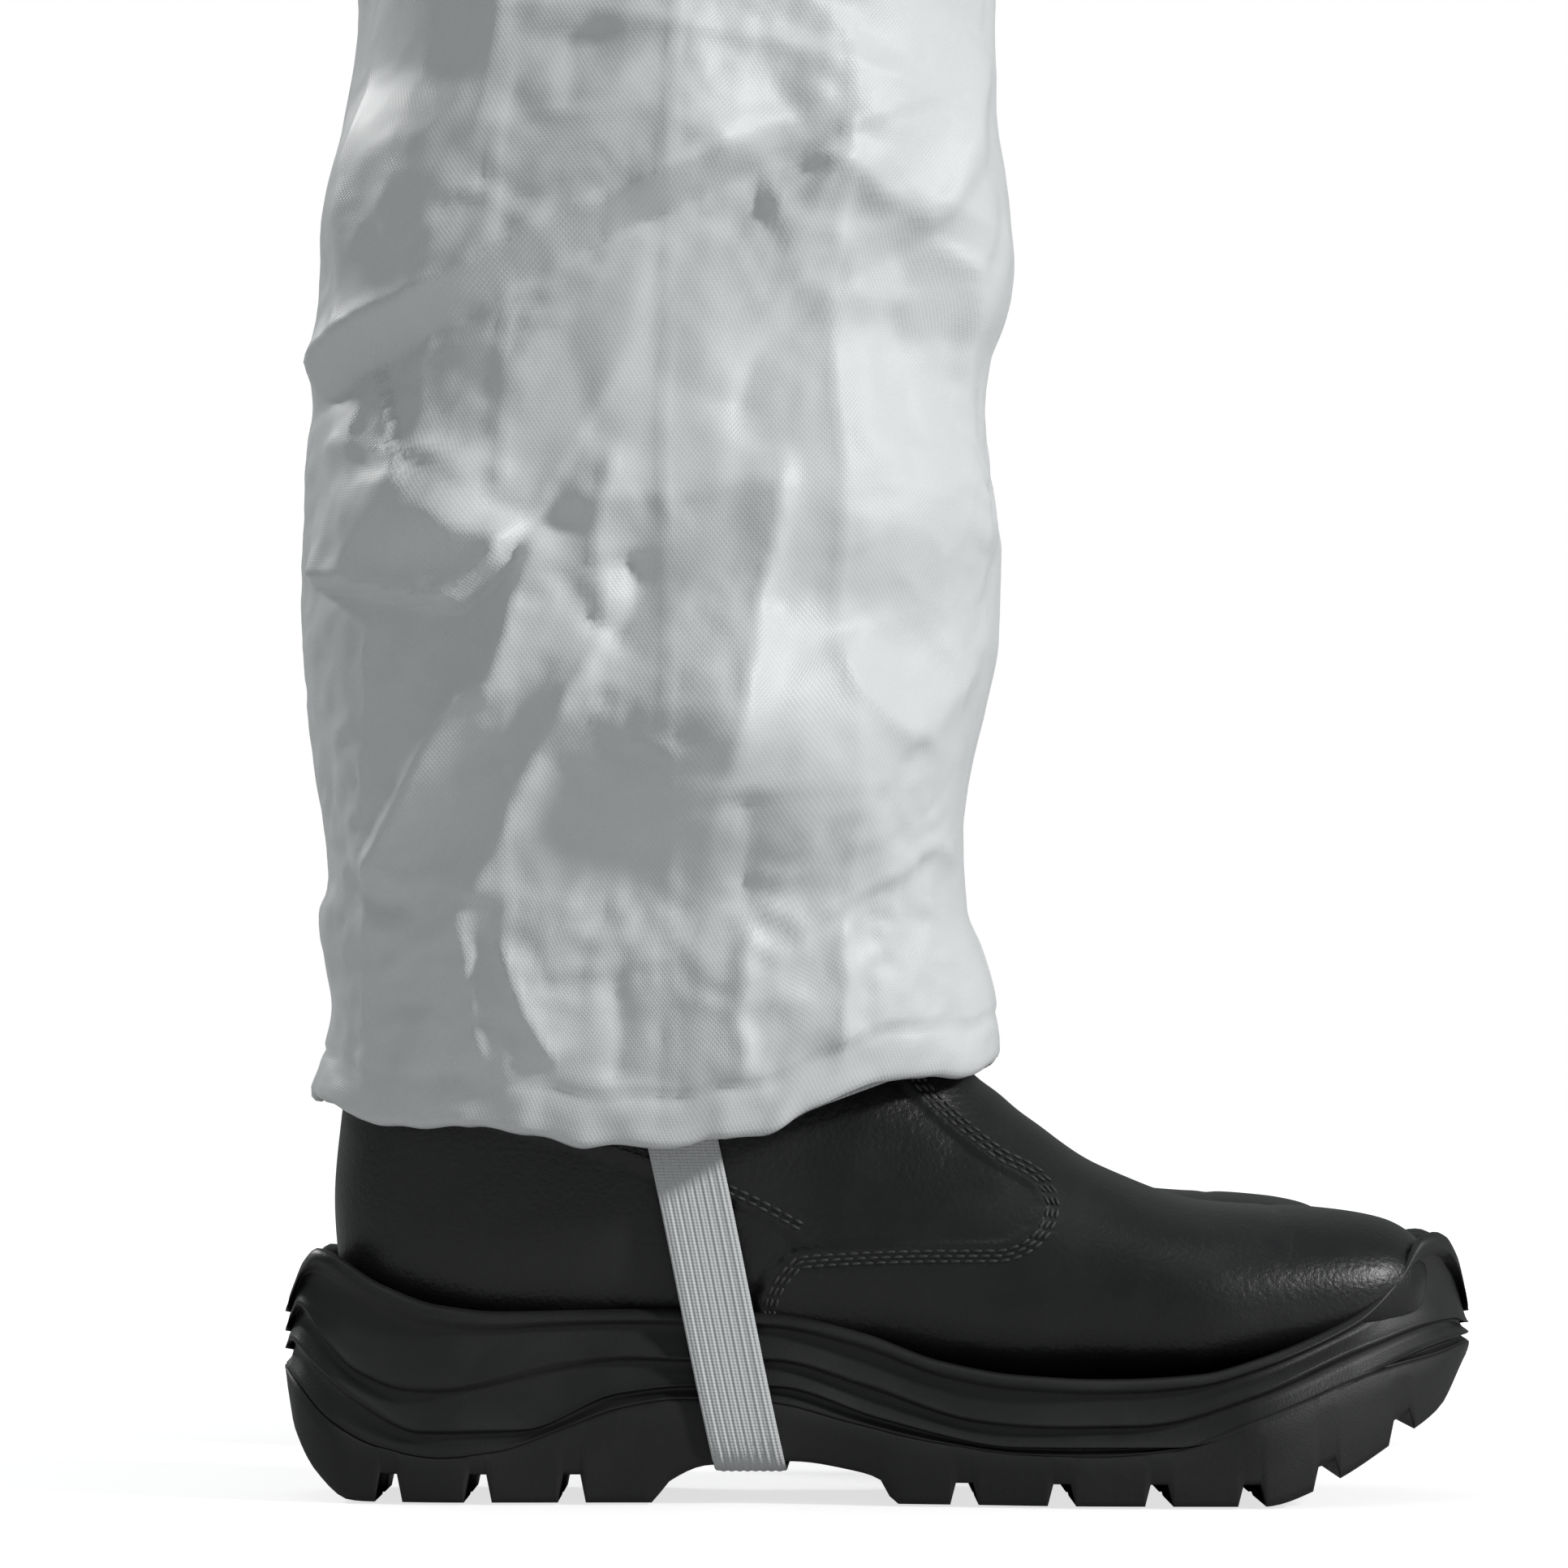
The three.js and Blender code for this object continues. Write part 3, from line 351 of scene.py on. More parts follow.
def crease_height(x, z, crease, seed):
    kind, height, upper, lower, line = crease
    wobble = noise(np.stack([x, z, np.zeros_like(x)], -1), 9.0, seed) * 1.1
    away, share = beside(x + wobble, z + wobble * 0.7, line)
    taper = np.clip(np.minimum(share, 1 - share) * 7 + 0.12, 0, 1)
    reach = max(upper, lower) * 4
    taper = taper * (1 - ease(reach * 0.7, reach, np.abs(away)))
    if kind == "pleat":
        ramp = np.clip(away / lower, 0, 1)
        fall = np.exp(-np.maximum(away - lower, 0) / upper)
        lip = 0.2 * np.exp(-np.sqrt((away - lower) ** 2 + 3.0) / 3.5)
        return height * taper * (ramp * fall + lip) - 1.6 * taper * np.exp(-np.sqrt(away**2 + 2.0) / 3.0)
    if kind == "shelf":
        ramp = np.clip(away / lower, 0, 1)
        fall = np.exp(-np.maximum(away - lower, 0) / upper)
        return height * taper * ramp * fall - 1.2 * taper * np.exp(-np.abs(away + 2) / 4.0)
    width = np.where(away > 0, upper, lower)
    crest = np.exp(-np.sqrt(away**2 + 0.25) / width)
    if kind == "valley":
        return -height * taper * crest
    if kind == "crinkle":
        ripple = noise(np.stack([x, z * 0.45, np.zeros_like(x)], -1), 11.0, seed + 1)
        ripple += 0.5 * sharp(noise(np.stack([x, z * 0.7, np.zeros_like(x)], -1), 23.0, seed + 2), 0.08)
        return height * taper * (crest * 0.8 + ripple * np.exp(-np.abs(away) / 10.0) * 0.7)
    return height * taper * crest


def leg_folds(x, z, seed):
    """Height of the folds on a leg's outer side, from its side view."""
    made = np.zeros_like(x)
    for mid_x, mid_z, half_x, half_z, height in LEG_SWELL:
        away = np.hypot((x - mid_x) / half_x, (z - mid_z) / half_z)
        made += height * (1 - ease(0.15, 1.05, away))
    for k, crease in enumerate(LEG_CREASES):
        made += crease_height(x, z, crease, seed + k)
    return made


def gathers(turn, above, seed, count, depth, reach):
    """Small vertical puckers over an elastic: turn runs 0 to 1 round it, above is the height over it."""
    ring = np.stack([np.cos(turn * 2 * np.pi), np.sin(turn * 2 * np.pi), above * 0 + 0.37], -1) * count
    tall = np.stack([ring[..., 0], ring[..., 1], above / reach * 2.0], -1)
    puckers = sharp(noise(tall, 2.2, seed), 0.08) + 0.5 * sharp(noise(tall, 1.2, seed + 1), 0.1)
    return puckers * depth * np.exp(-np.maximum(above, 0) / reach)


# ------------------------------------------------------------------ fabric shapes
def leg_grid(columns, seed):
    """The right trouser leg from inside its hem to the crotch, in millimetres."""
    back, front = through(LEG_BACK), through(LEG_FRONT)
    half, mid, hem = through(LEG_HALF), through(LEG_MIDDLE), through(HEM_EDGE)
    turned = [(13, 3.4), (7, 3.3), (3, 3.1), (0.9, 2.7), (0.1, 1.9), (0, 1.1), (0.4, 0.4), (1.5, 0), (3.3, 0)]
    close = np.arange(5.1, 300, 1.7)
    loose = np.linspace(303, CROTCH_Z - 92, 90)
    rows = turned + [(rise, 0) for rise in np.concatenate([close, loose])]
    grid = np.zeros((len(rows), columns, 3))
    for r, (rise, inset) in enumerate(rows):
        level = rise + 103
        inset = inset + 4.0 * float(ease(CROTCH_Z - 12, CROTCH_Z + 4, level))
        ring = oval(back(level) + inset, front(level) - inset, half(level) - inset, LEG_SQUARENESS, columns)
        turn = np.arange(columns) / columns * 2 * np.pi
        edge = hem(ring[:, 0]) + 0.6 * np.sin(turn * 9 + seed) + 0.35 * np.sin(turn * 23 + 2 * seed)
        sink = (edge - 103) * (1 - ease(20, 220, rise))
        grid[r] = np.stack([ring[:, 0], ring[:, 1] - mid(level), level + sink], -1)
    normal = normals_of(grid)
    rise = np.array([row[0] for row in rows])[:, None] * np.ones(columns)
    x, z = grid[..., 0], grid[..., 2]
    facing = ease(-0.05, 0.55, -normal[..., 1])
    away = ease(-0.05, 0.55, normal[..., 1])
    tall = ease(1, 16, rise)
    fold = leg_folds(x, z, seed) * 1.75 * facing
    fold += leg_folds(-118 - x, z * 0.93 + 12, seed + 50) * 1.2 * away
    knee = np.exp(-((z - 520) / 85) ** 2)
    for line in (-128, -92, -52, -11):
        fold += np.exp(-np.abs(x - line - 3 * noise(grid, 160.0, seed + 80)) / 1.4) * 0.7
    slack = sharp(noise(grid * np.array([1, 1, 2.3]), 95.0, seed + 90), 0.06) * (2.4 + 4.5 * knee)
    fold += slack * ease(350, 430, z)
    fold += crumple(grid, seed + 100) * (1.0 + 0.35 * ease(330, 420, z)) * ease(1.5, 10, rise)
    fine = sharp(noise(grid * np.array([1, 1, 1.6]), 14.0, seed + 130), 0.03) * 0.9
    fine += sharp(noise(grid * np.array([1.5, 1, 0.9]), 8.0, seed + 140), 0.03) * 0.45
    fold += fine * ease(-0.1, 0.25, noise(grid, 60.0, seed + 150)) * ease(3, 14, rise)
    turn = np.arange(columns)[None, :] / columns + np.zeros_like(x)
    fold = fold * tall + gathers(turn, rise - 2, seed + 200, 9, 1.35, 17)
    tunnel = np.exp(-((rise - 11.5) / 1.2) ** 2) * 1.1 - np.exp(-((rise - 6) / 3.2) ** 2) * 0.5
    tunnel = tunnel * (0.75 + 0.5 * noise(grid, 19.0, seed + 210))
    pinned = 1 - ease(CROTCH_Z - 40, CROTCH_Z - 4, z)
    silhouette = 1 - 0.55 * (1 - np.maximum(facing, away))
    return grid + normal * ((fold * silhouette - tunnel) * pinned)[..., None]


def trunk_ring(level, columns):
    """One level of the trunk; towards the crotch it draws in between the legs."""
    back, half = through(BODY_BACK)(level), through(BODY_HALF)(level)
    full = oval(back, CHEST_X, half, BODY_SQUARENESS, columns)
    legs = oval(through(LEG_BACK)(CROTCH_Z), through(LEG_FRONT)(CROTCH_Z), 93, LEG_SQUARENESS, 1440)
    draw = 1 - ease(CROTCH_Z, CROTCH_Z + 105, level)
    if draw <= 0:
        return full
    centre = np.array([(back + CHEST_X) / 2, 0])
    angle = np.arctan2(full[:, 1], full[:, 0] - centre[0])
    reach = np.hypot(full[:, 0] - centre[0], full[:, 1])
    best = np.full(columns, 12.0)
    for side in (-97, 97):
        leg = legs + np.array([0, side])
        leg_angle = np.arctan2(leg[:, 1], leg[:, 0] - centre[0])
        leg_reach = np.hypot(leg[:, 0] - centre[0], leg[:, 1])
        for k, a in enumerate(angle):
            near = np.abs(np.angle(np.exp(1j * (leg_angle - a)))) < 0.02
            if near.any():
                best[k] = max(best[k], leg_reach[near].max())
    softened = (np.roll(best, 1) + best * 2 + np.roll(best, -1)) / 4
    drawn = reach + (np.minimum(softened, reach) - reach) * draw**1.6
    return centre + np.stack([np.cos(angle), np.sin(angle)], -1) * drawn[:, None]


def hood_grid(columns, step):
    back, front, half = through(HOOD_BACK), through(HOOD_FRONT), through(HOOD_HALF)
    upright = np.arange(NECK_Z - 14, 1745, step)
    crown = 1745 + (HOOD_TOP_Z - 1745) * np.sin(np.linspace(0, np.pi / 2, 14))
    levels = np.concatenate([upright, crown])
    rings = [np.column_stack([oval(back(v), front(v), half(v), 2.3, columns), np.full(columns, v)]) for v in levels]
    return np.stack(rings)


def sleeve_grid(start, end, rows, columns):
    """Rings of the right sleeve between two section numbers."""
    parts = [through([(i, inner[k]) for i, (inner, _, _) in enumerate(SLEEVE)]) for k in (0, 1)]
    parts += [through([(i, outer[k]) for i, (_, outer, _) in enumerate(SLEEVE)]) for k in (0, 1)]
    depth = through([(i, d) for i, (_, _, d) in enumerate(SLEEVE)])
    rings = []
    for s in np.linspace(start, end, rows):
        out0, up0, out1, up1 = [float(part(s)) for part in parts]
        length = math.hypot(out1 - out0, up1 - up0)
        flat = oval(-length / 2, length / 2, float(depth(s)), 2.2, columns)
        share = flat[:, 0] / length + 0.5
        out, up = out0 + (out1 - out0) * share, up0 + (up1 - up0) * share
        rings.append(np.stack([SHOULDER["x"] + flat[:, 1], -out, up], -1))
    return np.stack(rings)


CLOTH = {"quality": 6, "mass": 0.12, "tension_stiffness": 14, "compression_stiffness": 14, "shear_stiffness": 6,
         "bending_stiffness": 0.25, "air_damping": 2, "vertex_group_mass": "pinned"}


def hang(pieces, grow, frames, cap):
    """Lets fabric that is cut too full buckle and hang between its pinned edges; no point moves past cap."""
    scene = bpy.context.scene
    before = {}
    for piece, pinned in pieces:
        group = piece.vertex_groups.new(name="pinned")
        for index, weight in enumerate(pinned):
            if weight > 0:
                group.add([index], float(weight), "REPLACE")
        cloth = piece.modifiers.new("Cloth", "CLOTH")
        for name, value in CLOTH.items():
            setattr(cloth.settings, name, value)
        cloth.settings.shrink_min = cloth.settings.shrink_max = -grow
        cloth.settings.effector_weights.gravity = 0.35
        cloth.collision_settings.use_collision = False
        before[piece.name] = np.array([v.co for v in piece.data.vertices])
    for step in range(1, frames + 1):
        scene.frame_set(step)
    graph = bpy.context.evaluated_depsgraph_get()
    for piece, _ in pieces:
        held = piece.evaluated_get(graph).to_mesh()
        after = np.array([v.co for v in held.vertices])
        piece.evaluated_get(graph).to_mesh_clear()
        moved = after - before[piece.name]
        far = np.linalg.norm(moved, axis=1, keepdims=True)
        moved *= np.minimum(1, cap / np.maximum(far, 1e-9))
        piece.modifiers.clear()
        piece.vertex_groups.clear()
        piece.data.vertices.foreach_set("co", (before[piece.name] + moved).astype(np.float32).ravel())
        piece.data.update()
    scene.frame_set(1)


def face_outward(piece, weld=None):
    """Turns every face outward, after joining points closer than weld."""
    work = bmesh.new()
    work.from_mesh(piece.data)
    if weld:
        bmesh.ops.remove_doubles(work, verts=work.verts, dist=weld)
    bmesh.ops.recalc_face_normals(work, faces=work.faces)
    work.to_mesh(piece.data)
    work.free()


def close_loop(piece, chosen):
    """Fills the open edges whose points are chosen."""
    work = bmesh.new()
    work.from_mesh(piece.data)
    loop = [v for v in work.verts if v.is_boundary and chosen(v.co)]
    bmesh.ops.contextual_create(work, geom=list({e for v in loop for e in v.link_edges if e.is_boundary}))
    work.to_mesh(piece.data)
    work.free()


def refine(piece, levels):
    """Divides a mesh smoothly and applies the result."""
    divide = piece.modifiers.new("Divide", "SUBSURF")
    divide.levels = divide.render_levels = levels
    divide.uv_smooth = "PRESERVE_BOUNDARIES"
    apply_modifiers(piece)


def apply_modifiers(piece):
    graph = bpy.context.evaluated_depsgraph_get()
    made = bpy.data.meshes.new_from_object(piece.evaluated_get(graph))
    old = piece.data
    piece.modifiers.clear()
    piece.data = made
    bpy.data.meshes.remove(old)


def raise_surface(piece, height):
    """Moves each vertex along its normal by height(points, normals) in millimetres."""
    mesh = piece.data
    points = np.zeros(len(mesh.vertices) * 3, np.float32)
    mesh.vertices.foreach_get("co", points)
    points = points.reshape(-1, 3).astype(float)
    normal = np.zeros(len(mesh.vertices) * 3, np.float32)
    mesh.vertex_normals.foreach_get("vector", normal)
    normal = normal.reshape(-1, 3).astype(float)
    local = (points - np.array([SHIFT, 0, 0])) / MM
    points += normal * (height(local, normal) * MM)[:, None]
    mesh.vertices.foreach_set("co", points.astype(np.float32).ravel())
    mesh.update()


def cut_opening(piece, inside, snap):
    """Deletes the faces inside an opening, then moves the edge that is left onto its outline."""
    work = bmesh.new()
    work.from_mesh(piece.data)
    gone = [face for face in work.faces if inside(face.calc_center_median())]
    bmesh.ops.delete(work, geom=gone, context="FACES")
    for vertex in work.verts:
        if vertex.is_boundary:
            snap(vertex)
    work.to_mesh(piece.data)
    work.free()


def tree_of(piece):
    """Search tree of a finished mesh, in metres."""
    mesh = piece.data
    return BVHTree.FromPolygons([v.co[:] for v in mesh.vertices], [p.vertices[:] for p in mesh.polygons])


def merge(parts):
    """Joins (vertices, faces) pairs into one."""
    vertices, faces, start = [], [], 0
    for points, polygons in parts:
        vertices.append(np.asarray(points))
        faces += [tuple(i + start for i in face) for face in polygons]
        start += len(points)
    return np.concatenate(vertices), faces


def spread(line, step):
    """Points every step along a line of points, with their directions."""
    line = np.asarray(line, float)
    lengths = np.concatenate([[0], np.cumsum(np.linalg.norm(np.diff(line, axis=0), axis=1))])
    at = np.arange(step / 2, lengths[-1], step)
    points = np.stack([np.interp(at, lengths, line[:, k]) for k in range(line.shape[1])], -1)
    ahead = np.stack([np.interp(at + 0.5, lengths, line[:, k]) for k in range(line.shape[1])], -1)
    behind = np.stack([np.interp(at - 0.5, lengths, line[:, k]) for k in range(line.shape[1])], -1)
    return points, ahead - behind


def curve_through(points, step=1.0):
    """Smooth plane curve through points, with a point about every step."""
    points = np.array(points, float)
    run = np.concatenate([[0], np.cumsum(np.hypot(*np.diff(points, axis=0).T))])
    at = np.linspace(0, run[-1], int(run[-1] / step) + 2)
    return np.stack([through(np.column_stack([run, points[:, k]]))(at) for k in (0, 1)], -1)


# ------------------------------------------------------------------ sizes of the boot, millimetres
# Fan of sections from the toe to the collar: point on the sole, point on the instep, half width.
LAST = [((139, 50), (141, 55), 8), ((136, 43), (138.5, 63), 27), ((125, 38), (130, 69.5), 38),
        ((104, 33), (112, 72.7), 45), ((74, 28), (84, 74.2), 50), ((35, 27), (56, 84), 47),
        ((-12, 31), (26, 106), 40), ((-65, 32), (10, 126), 38), ((-112, 35), (4, 141), 38.5),
        ((-137, 52), (1.5, 150), 39), ((-140, 78), (0.5, 158), 40), ((-136, 116), (0, 164), 41),
        ((-133, 168), (0, 168), 42)]
LAST_SQUARENESS = 2.5
LAST_SAG = 0.16
SKIN_DEPTH = 0.9  # how far the leather's lowest layer lies inside the boot's outer shape
VAMP_LINE = [(-33, 30), (-31.2, 47), (-30.2, 51.6), (-26, 59), (-20.6, 63.3), (-6.6, 64.4), (10.6, 65), (29.6, 65.2),
             (36.1, 67.8), (39.8, 74), (38.1, 78.4), (28.5, 84), (12.6, 97.4), (5.7, 105.3), (-6, 120), (-10, 140),
             (-14, 175)]
QUARTER_LINE = [(-20.6, 66.4), (-30, 71.6), (-37, 75), (-64, 86), (-82, 91), (-118, 100), (-150, 104)]
SOLE_OUTER = [(-152, 0), (-151, 9), (-147, 20), (-134, 32), (-105, 38.5), (-60, 38), (-25, 38.5), (15, 45), (55, 53),
              (90, 54), (118, 45), (137, 30), (148, 14), (151, 6), (152, 0)]
SOLE_INNER = [(-152, 0), (-151, 9), (-147, 20), (-134, 31), (-105, 36.5), (-60, 34), (-25, 33), (15, 38), (55, 46),
              (90, 49), (118, 43), (137, 30), (148, 14), (151, 6), (152, 0)]
# Flowing ridges of the midsole from its top lip down to the line where the outsole starts.
SOLE_RIDGES = [
    [(-152, 47), (-149, 52), (-146, 58), (-142, 61.5), (-125, 52.6), (-111, 47.6), (-95, 46), (-56, 46.6),
     (-28, 45.6), (-4, 40.6), (16, 33.7), (34, 30.7), (54, 29.7), (79, 31), (93, 34.7), (119, 45.6),
     (131, 56.5), (137, 64.8), (141, 65.6), (144.5, 64.2), (147.5, 60), (150, 53), (152, 47)],
    [(-152, 42), (-149.5, 46), (-147, 50), (-140, 42), (-131, 33.7), (-119, 30), (-111, 29.7), (-79, 36.7),
     (-64, 37.6), (-48, 36.7), (-28, 36.7), (-4, 30.7), (24, 21.8), (44, 20.4), (64, 20.8), (93, 28.7),
     (123, 40.6), (146, 46.2), (152, 44)],
    [(-152, 37.5), (-149, 41), (-143, 36), (-131, 26.7), (-115, 18.8), (-89, 18.8), (-66, 27.7), (-46, 29.7),
     (-26, 29.7), (0, 21.8), (34, 14.8), (73, 14.8), (103, 23.7), (146, 40.8), (152, 41.5)],
    [(-152, 33), (-150.8, 32.4), (-139, 20.7), (-126, 13.8), (-110, 11), (-96, 12.6), (-79, 18.6),
     (-64, 23.8), (-50, 25.8), (-28, 25), (-7, 20), (15, 15.2), (36, 12.6), (53, 12.2), (73, 13.9), (89, 20),
     (105, 26.2), (121, 32.2), (141, 36.6), (152, 39)],
]
SOLE_TREAD = [(-152, 30), (-148, 17), (-142, 7), (-133, 0.3), (-128, 0), (-57, 0), (-53, 5), (-43, 9.3), (-22, 10.3),
              (-6, 8), (0, 6), (4, 0), (95, 0), (110, 4.5), (129, 15), (142, 23), (152, 36)]
GROOVES = [-123, -100.5, -77, 21, 45, 69, 92, 111, 131]
GROOVE = {"mouth": 7.0, "floor": 4.2, "depth": 5.4}
STRAP = {"width": 18, "thickness": 1.5, "lean": 0.22, "x": -50, "z": 91, "top": 126, "ribs": 9}


def last_grid(sections, around):
    """The upper's outer shape, toe to collar, in a right boot's own millimetres."""
    index = np.arange(len(LAST))
    tables = [through(np.column_stack([index, [pick(row) for row in LAST]])) for pick in (
        lambda r: r[0][0], lambda r: r[0][1], lambda r: r[1][0], lambda r: r[1][1], lambda r: r[2])]
    s = np.concatenate([np.linspace(0, 3, sections // 4, endpoint=False),
                        np.linspace(3, len(LAST) - 1, sections - sections // 4)])
    sole_x, sole_z, top_x, top_z, half = [table(s)[:, None] for table in tables]
    ring = oval(-1, 1, 1, LAST_SQUARENESS, around)
    up, out = ring[:, 0][None, :], ring[:, 1][None, :]
    lowered = up - LAST_SAG * (1 - up * up)
    x = (sole_x + top_x) / 2 + (top_x - sole_x) / 2 * lowered
    z = (sole_z + top_z) / 2 + (top_z - sole_z) / 2 * lowered
    return np.stack([x, out * half, z], -1)


def panel_height(x, z):
    """Height in millimetres of the vamp and the heel quarter over the leather under them."""
    vamp, _ = beside(x, z, curve_through(VAMP_LINE, 2.0))
    quarter, _ = beside(x, z, curve_through(QUARTER_LINE, 2.0))
    vamp_side = ease(-0.35, 0.35, -vamp)
    made = vamp_side * (1.5 + 0.5 * np.exp(-((vamp + 1.0) / 0.8) ** 2))
    below = ease(-0.35, 0.35, -quarter) * (1 - vamp_side)
    made += below * (0.9 + 0.35 * np.exp(-((quarter + 0.9) / 0.7) ** 2))
    for row in (2.2, 3.5, 4.8):
        made -= 0.22 * np.exp(-((vamp + row) / 0.45) ** 2)
    for row in (1.8, 3.4):
        made -= 0.2 * np.exp(-((quarter + row) / 0.45) ** 2) * (1 - vamp_side)
    return made


def boot_upper(side, material, thread):
    sign = SIDES[side]
    grid = last_grid(330, 288)
    normal = normals_of(grid)
    centre = grid.mean(1, keepdims=True)
    normal *= np.sign((normal * (grid - centre)).sum(-1).mean())
    x, z = grid[..., 0], grid[..., 2]
    crease = ease(70, 95, z) * np.exp(-((x - 32) / 26) ** 2)
    folds = noise(grid * np.array([1, 0.3, 1.4]), 17.0, 31) * 1.3 * crease
    dents = noise(grid, 34.0, 32) * 0.45 + noise(grid, 13.0, 33) * 0.12
    toe = np.exp(-((x - 101) / 2.2) ** 2) * 0.35 * ease(55, 66, z)
    grid = grid + normal * (panel_height(x, z) + folds + dents - toe - SKIN_DEPTH)[..., None]
    right = place(grid + np.array([0, -STANCE, 0]))
    upper = grid_object(f"boot_upper_{side}", on_side(side, right), material, flip=sign > 0)
    close_loop(upper, lambda at: at.x > SHIFT + 0.1)
    stitches = stitch_rows(upper, sign)
    threads = new_object(f"boot_stitches_{side}", *stitches, thread)
    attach(upper, f"{side}_lower_leg")
    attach(threads, f"{side}_lower_leg")
    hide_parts(f"{side}_boot_vamp", f"{side}_boot_heel_quarter", f"{side}_boot_ankle_shaft")
    return upper


def stitch_rows(upper, sign):
    """Thread of the sewn rows: three beside the vamp's edge and two beside the quarter's, on both sides."""
    surface = tree_of(upper)
    rows = []
    for line, offsets in ((VAMP_LINE, (2.2, 3.5, 4.8)), (QUARTER_LINE, (1.8, 3.4))):
        smooth = curve_through(line, 1.0)
        run = np.gradient(smooth, axis=0)
        run /= np.linalg.norm(run, axis=1, keepdims=True)
        for offset in offsets:
            rows.append(smooth + np.stack([run[:, 1], -run[:, 0]], -1) * offset)
    parts = []
    profile = np.array([(-1.0, 0.15), (-0.72, 0.75), (-0.25, 1.0), (0.25, 1.0), (0.72, 0.75), (1.0, 0.15)])
    for row in rows:
        points, directions = spread(row, 3.1)
        for (x, z), (dx, dz) in zip(points, directions):
            for face in (-1, 1):
                start = Vector((x * MM + SHIFT, sign * -STANCE * MM + face * 0.2, z * MM))
                hit, normal, _, _ = surface.ray_cast(start, Vector((0, -face, 0)), 0.19)
                if hit is None or abs(normal.y) < 0.25 or z < 36:
                    continue
                normal = normal if normal.y * face > 0 else -normal
                along = Vector((dx, 0, dz)) - normal * Vector((dx, 0, dz)).dot(normal)
                along.normalize()
                across = normal.cross(along)
                base = hit + normal * 0.1 * MM
                ring = []
                for share, width in profile:
                    for k in range(6):
                        turn = k * math.pi / 3
                        lift = math.sin(turn) * 0.5 * width
                        ring.append(base + along * share * 1.35 * MM + across * math.cos(turn) * 0.5 * width * MM
                                    + normal * lift * MM)
                faces = [(i * 6 + k, i * 6 + (k + 1) % 6, i * 6 + 6 + (k + 1) % 6, i * 6 + 6 + k)
                         for i in range(5) for k in range(6)]
                parts.append(([v[:] for v in ring], faces))
    return merge(parts)


def sole_stations(step, breaks=()):
    """Places along the sole, close together at its round ends and at each groove's corners."""
    turn = np.linspace(0, np.pi, int(304 / step))
    places = -152 * np.cos(turn)
    middle_part = np.arange(-145, 146, step)
    ends = places[(np.abs(places) > 144)]
    made = np.unique(np.round(np.concatenate([ends, middle_part, np.array(breaks)]), 3))
    return made[np.concatenate([[True], np.diff(made) > 0.04])]


def outline(x, inset):
    """Half widths of the sole on its outer and inner side, drawn in by inset."""
    reach = 152 - inset
    at = np.clip(x, -reach, reach)
    shrink = at / reach * 152
    outer = through(SOLE_OUTER)(shrink) - inset * np.sqrt(np.clip(1 - (at / reach) ** 8, 0, 1))
    inner = through(SOLE_INNER)(shrink) - inset * np.sqrt(np.clip(1 - (at / reach) ** 8, 0, 1))
    return at, np.maximum(outer, 0), np.maximum(inner, 0)


def midsole(side, material):
    """Cup of the midsole with its four flowing ledges, lip and toe bumper."""
    sign = SIDES[side]
    x = sole_stations(1.4)
    ridges = [through(line)(x) for line in SOLE_RIDGES]
    levels = []
    profile = [(0.0, 0.3), (0.05, 0.0), (0.12, 0.15), (0.2, 2.1), (0.3, 2.5), (0.55, 1.9), (0.82, 0.8)]
    for high, low in zip(ridges, ridges[1:]):
        for share, inset in profile:
            levels.append((high + (low - high) * share, inset))
    levels.append((ridges[-1] + 0.4, 0.4))
    levels.append((ridges[-1] - 0.3, 1.2))
    lip = [(ridges[0] + 0.3, 7.0), (ridges[0] + 1.4, 4.4), (ridges[0] + 1.7, 2.2), (ridges[0] + 1.1, 0.8)]
    inner_wall = [(ridges[0] - 9, 8.0), (ridges[0] - 4, 7.6)]
    rows = []
    for level, inset in inner_wall + lip + levels + [(ridges[-1] - 0.3, 6.0)]:
        at, outer, inner = outline(x, inset)
        around = np.concatenate([np.stack([at, -outer, level], -1), np.stack([at, inner, level], -1)[-2:0:-1]])
        rows.append(around)
    grid = np.stack(rows)[::-1]
    grid[..., 2] += noise(grid, 22.0, 41) * 0.15
    right = place(grid + np.array([0, -STANCE, 0]))
    return grid_object(f"boot_midsole_shell_{side}", on_side(side, right), material, flip=sign > 0)


def tread_height(x, cap):
    """Height of the sole's underside, with its cross grooves cut up from the mouth."""
    base = through(SOLE_TREAD)(x)
    cut = np.zeros_like(x)
    for centre in GROOVES:
        away = np.abs(x - centre)
        slope = np.clip((GROOVE["mouth"] / 2 - away) / ((GROOVE["mouth"] - GROOVE["floor"]) / 2), 0, 1)
        depth = GROOVE["depth"] + (1.6 if centre < 0 else 0)
        cut = np.maximum(cut, slope * depth)
    ceiling = through(SOLE_RIDGES[3])(x) - cap
    return np.where(cut > 0, np.minimum(base + cut, np.maximum(ceiling, base)), base)


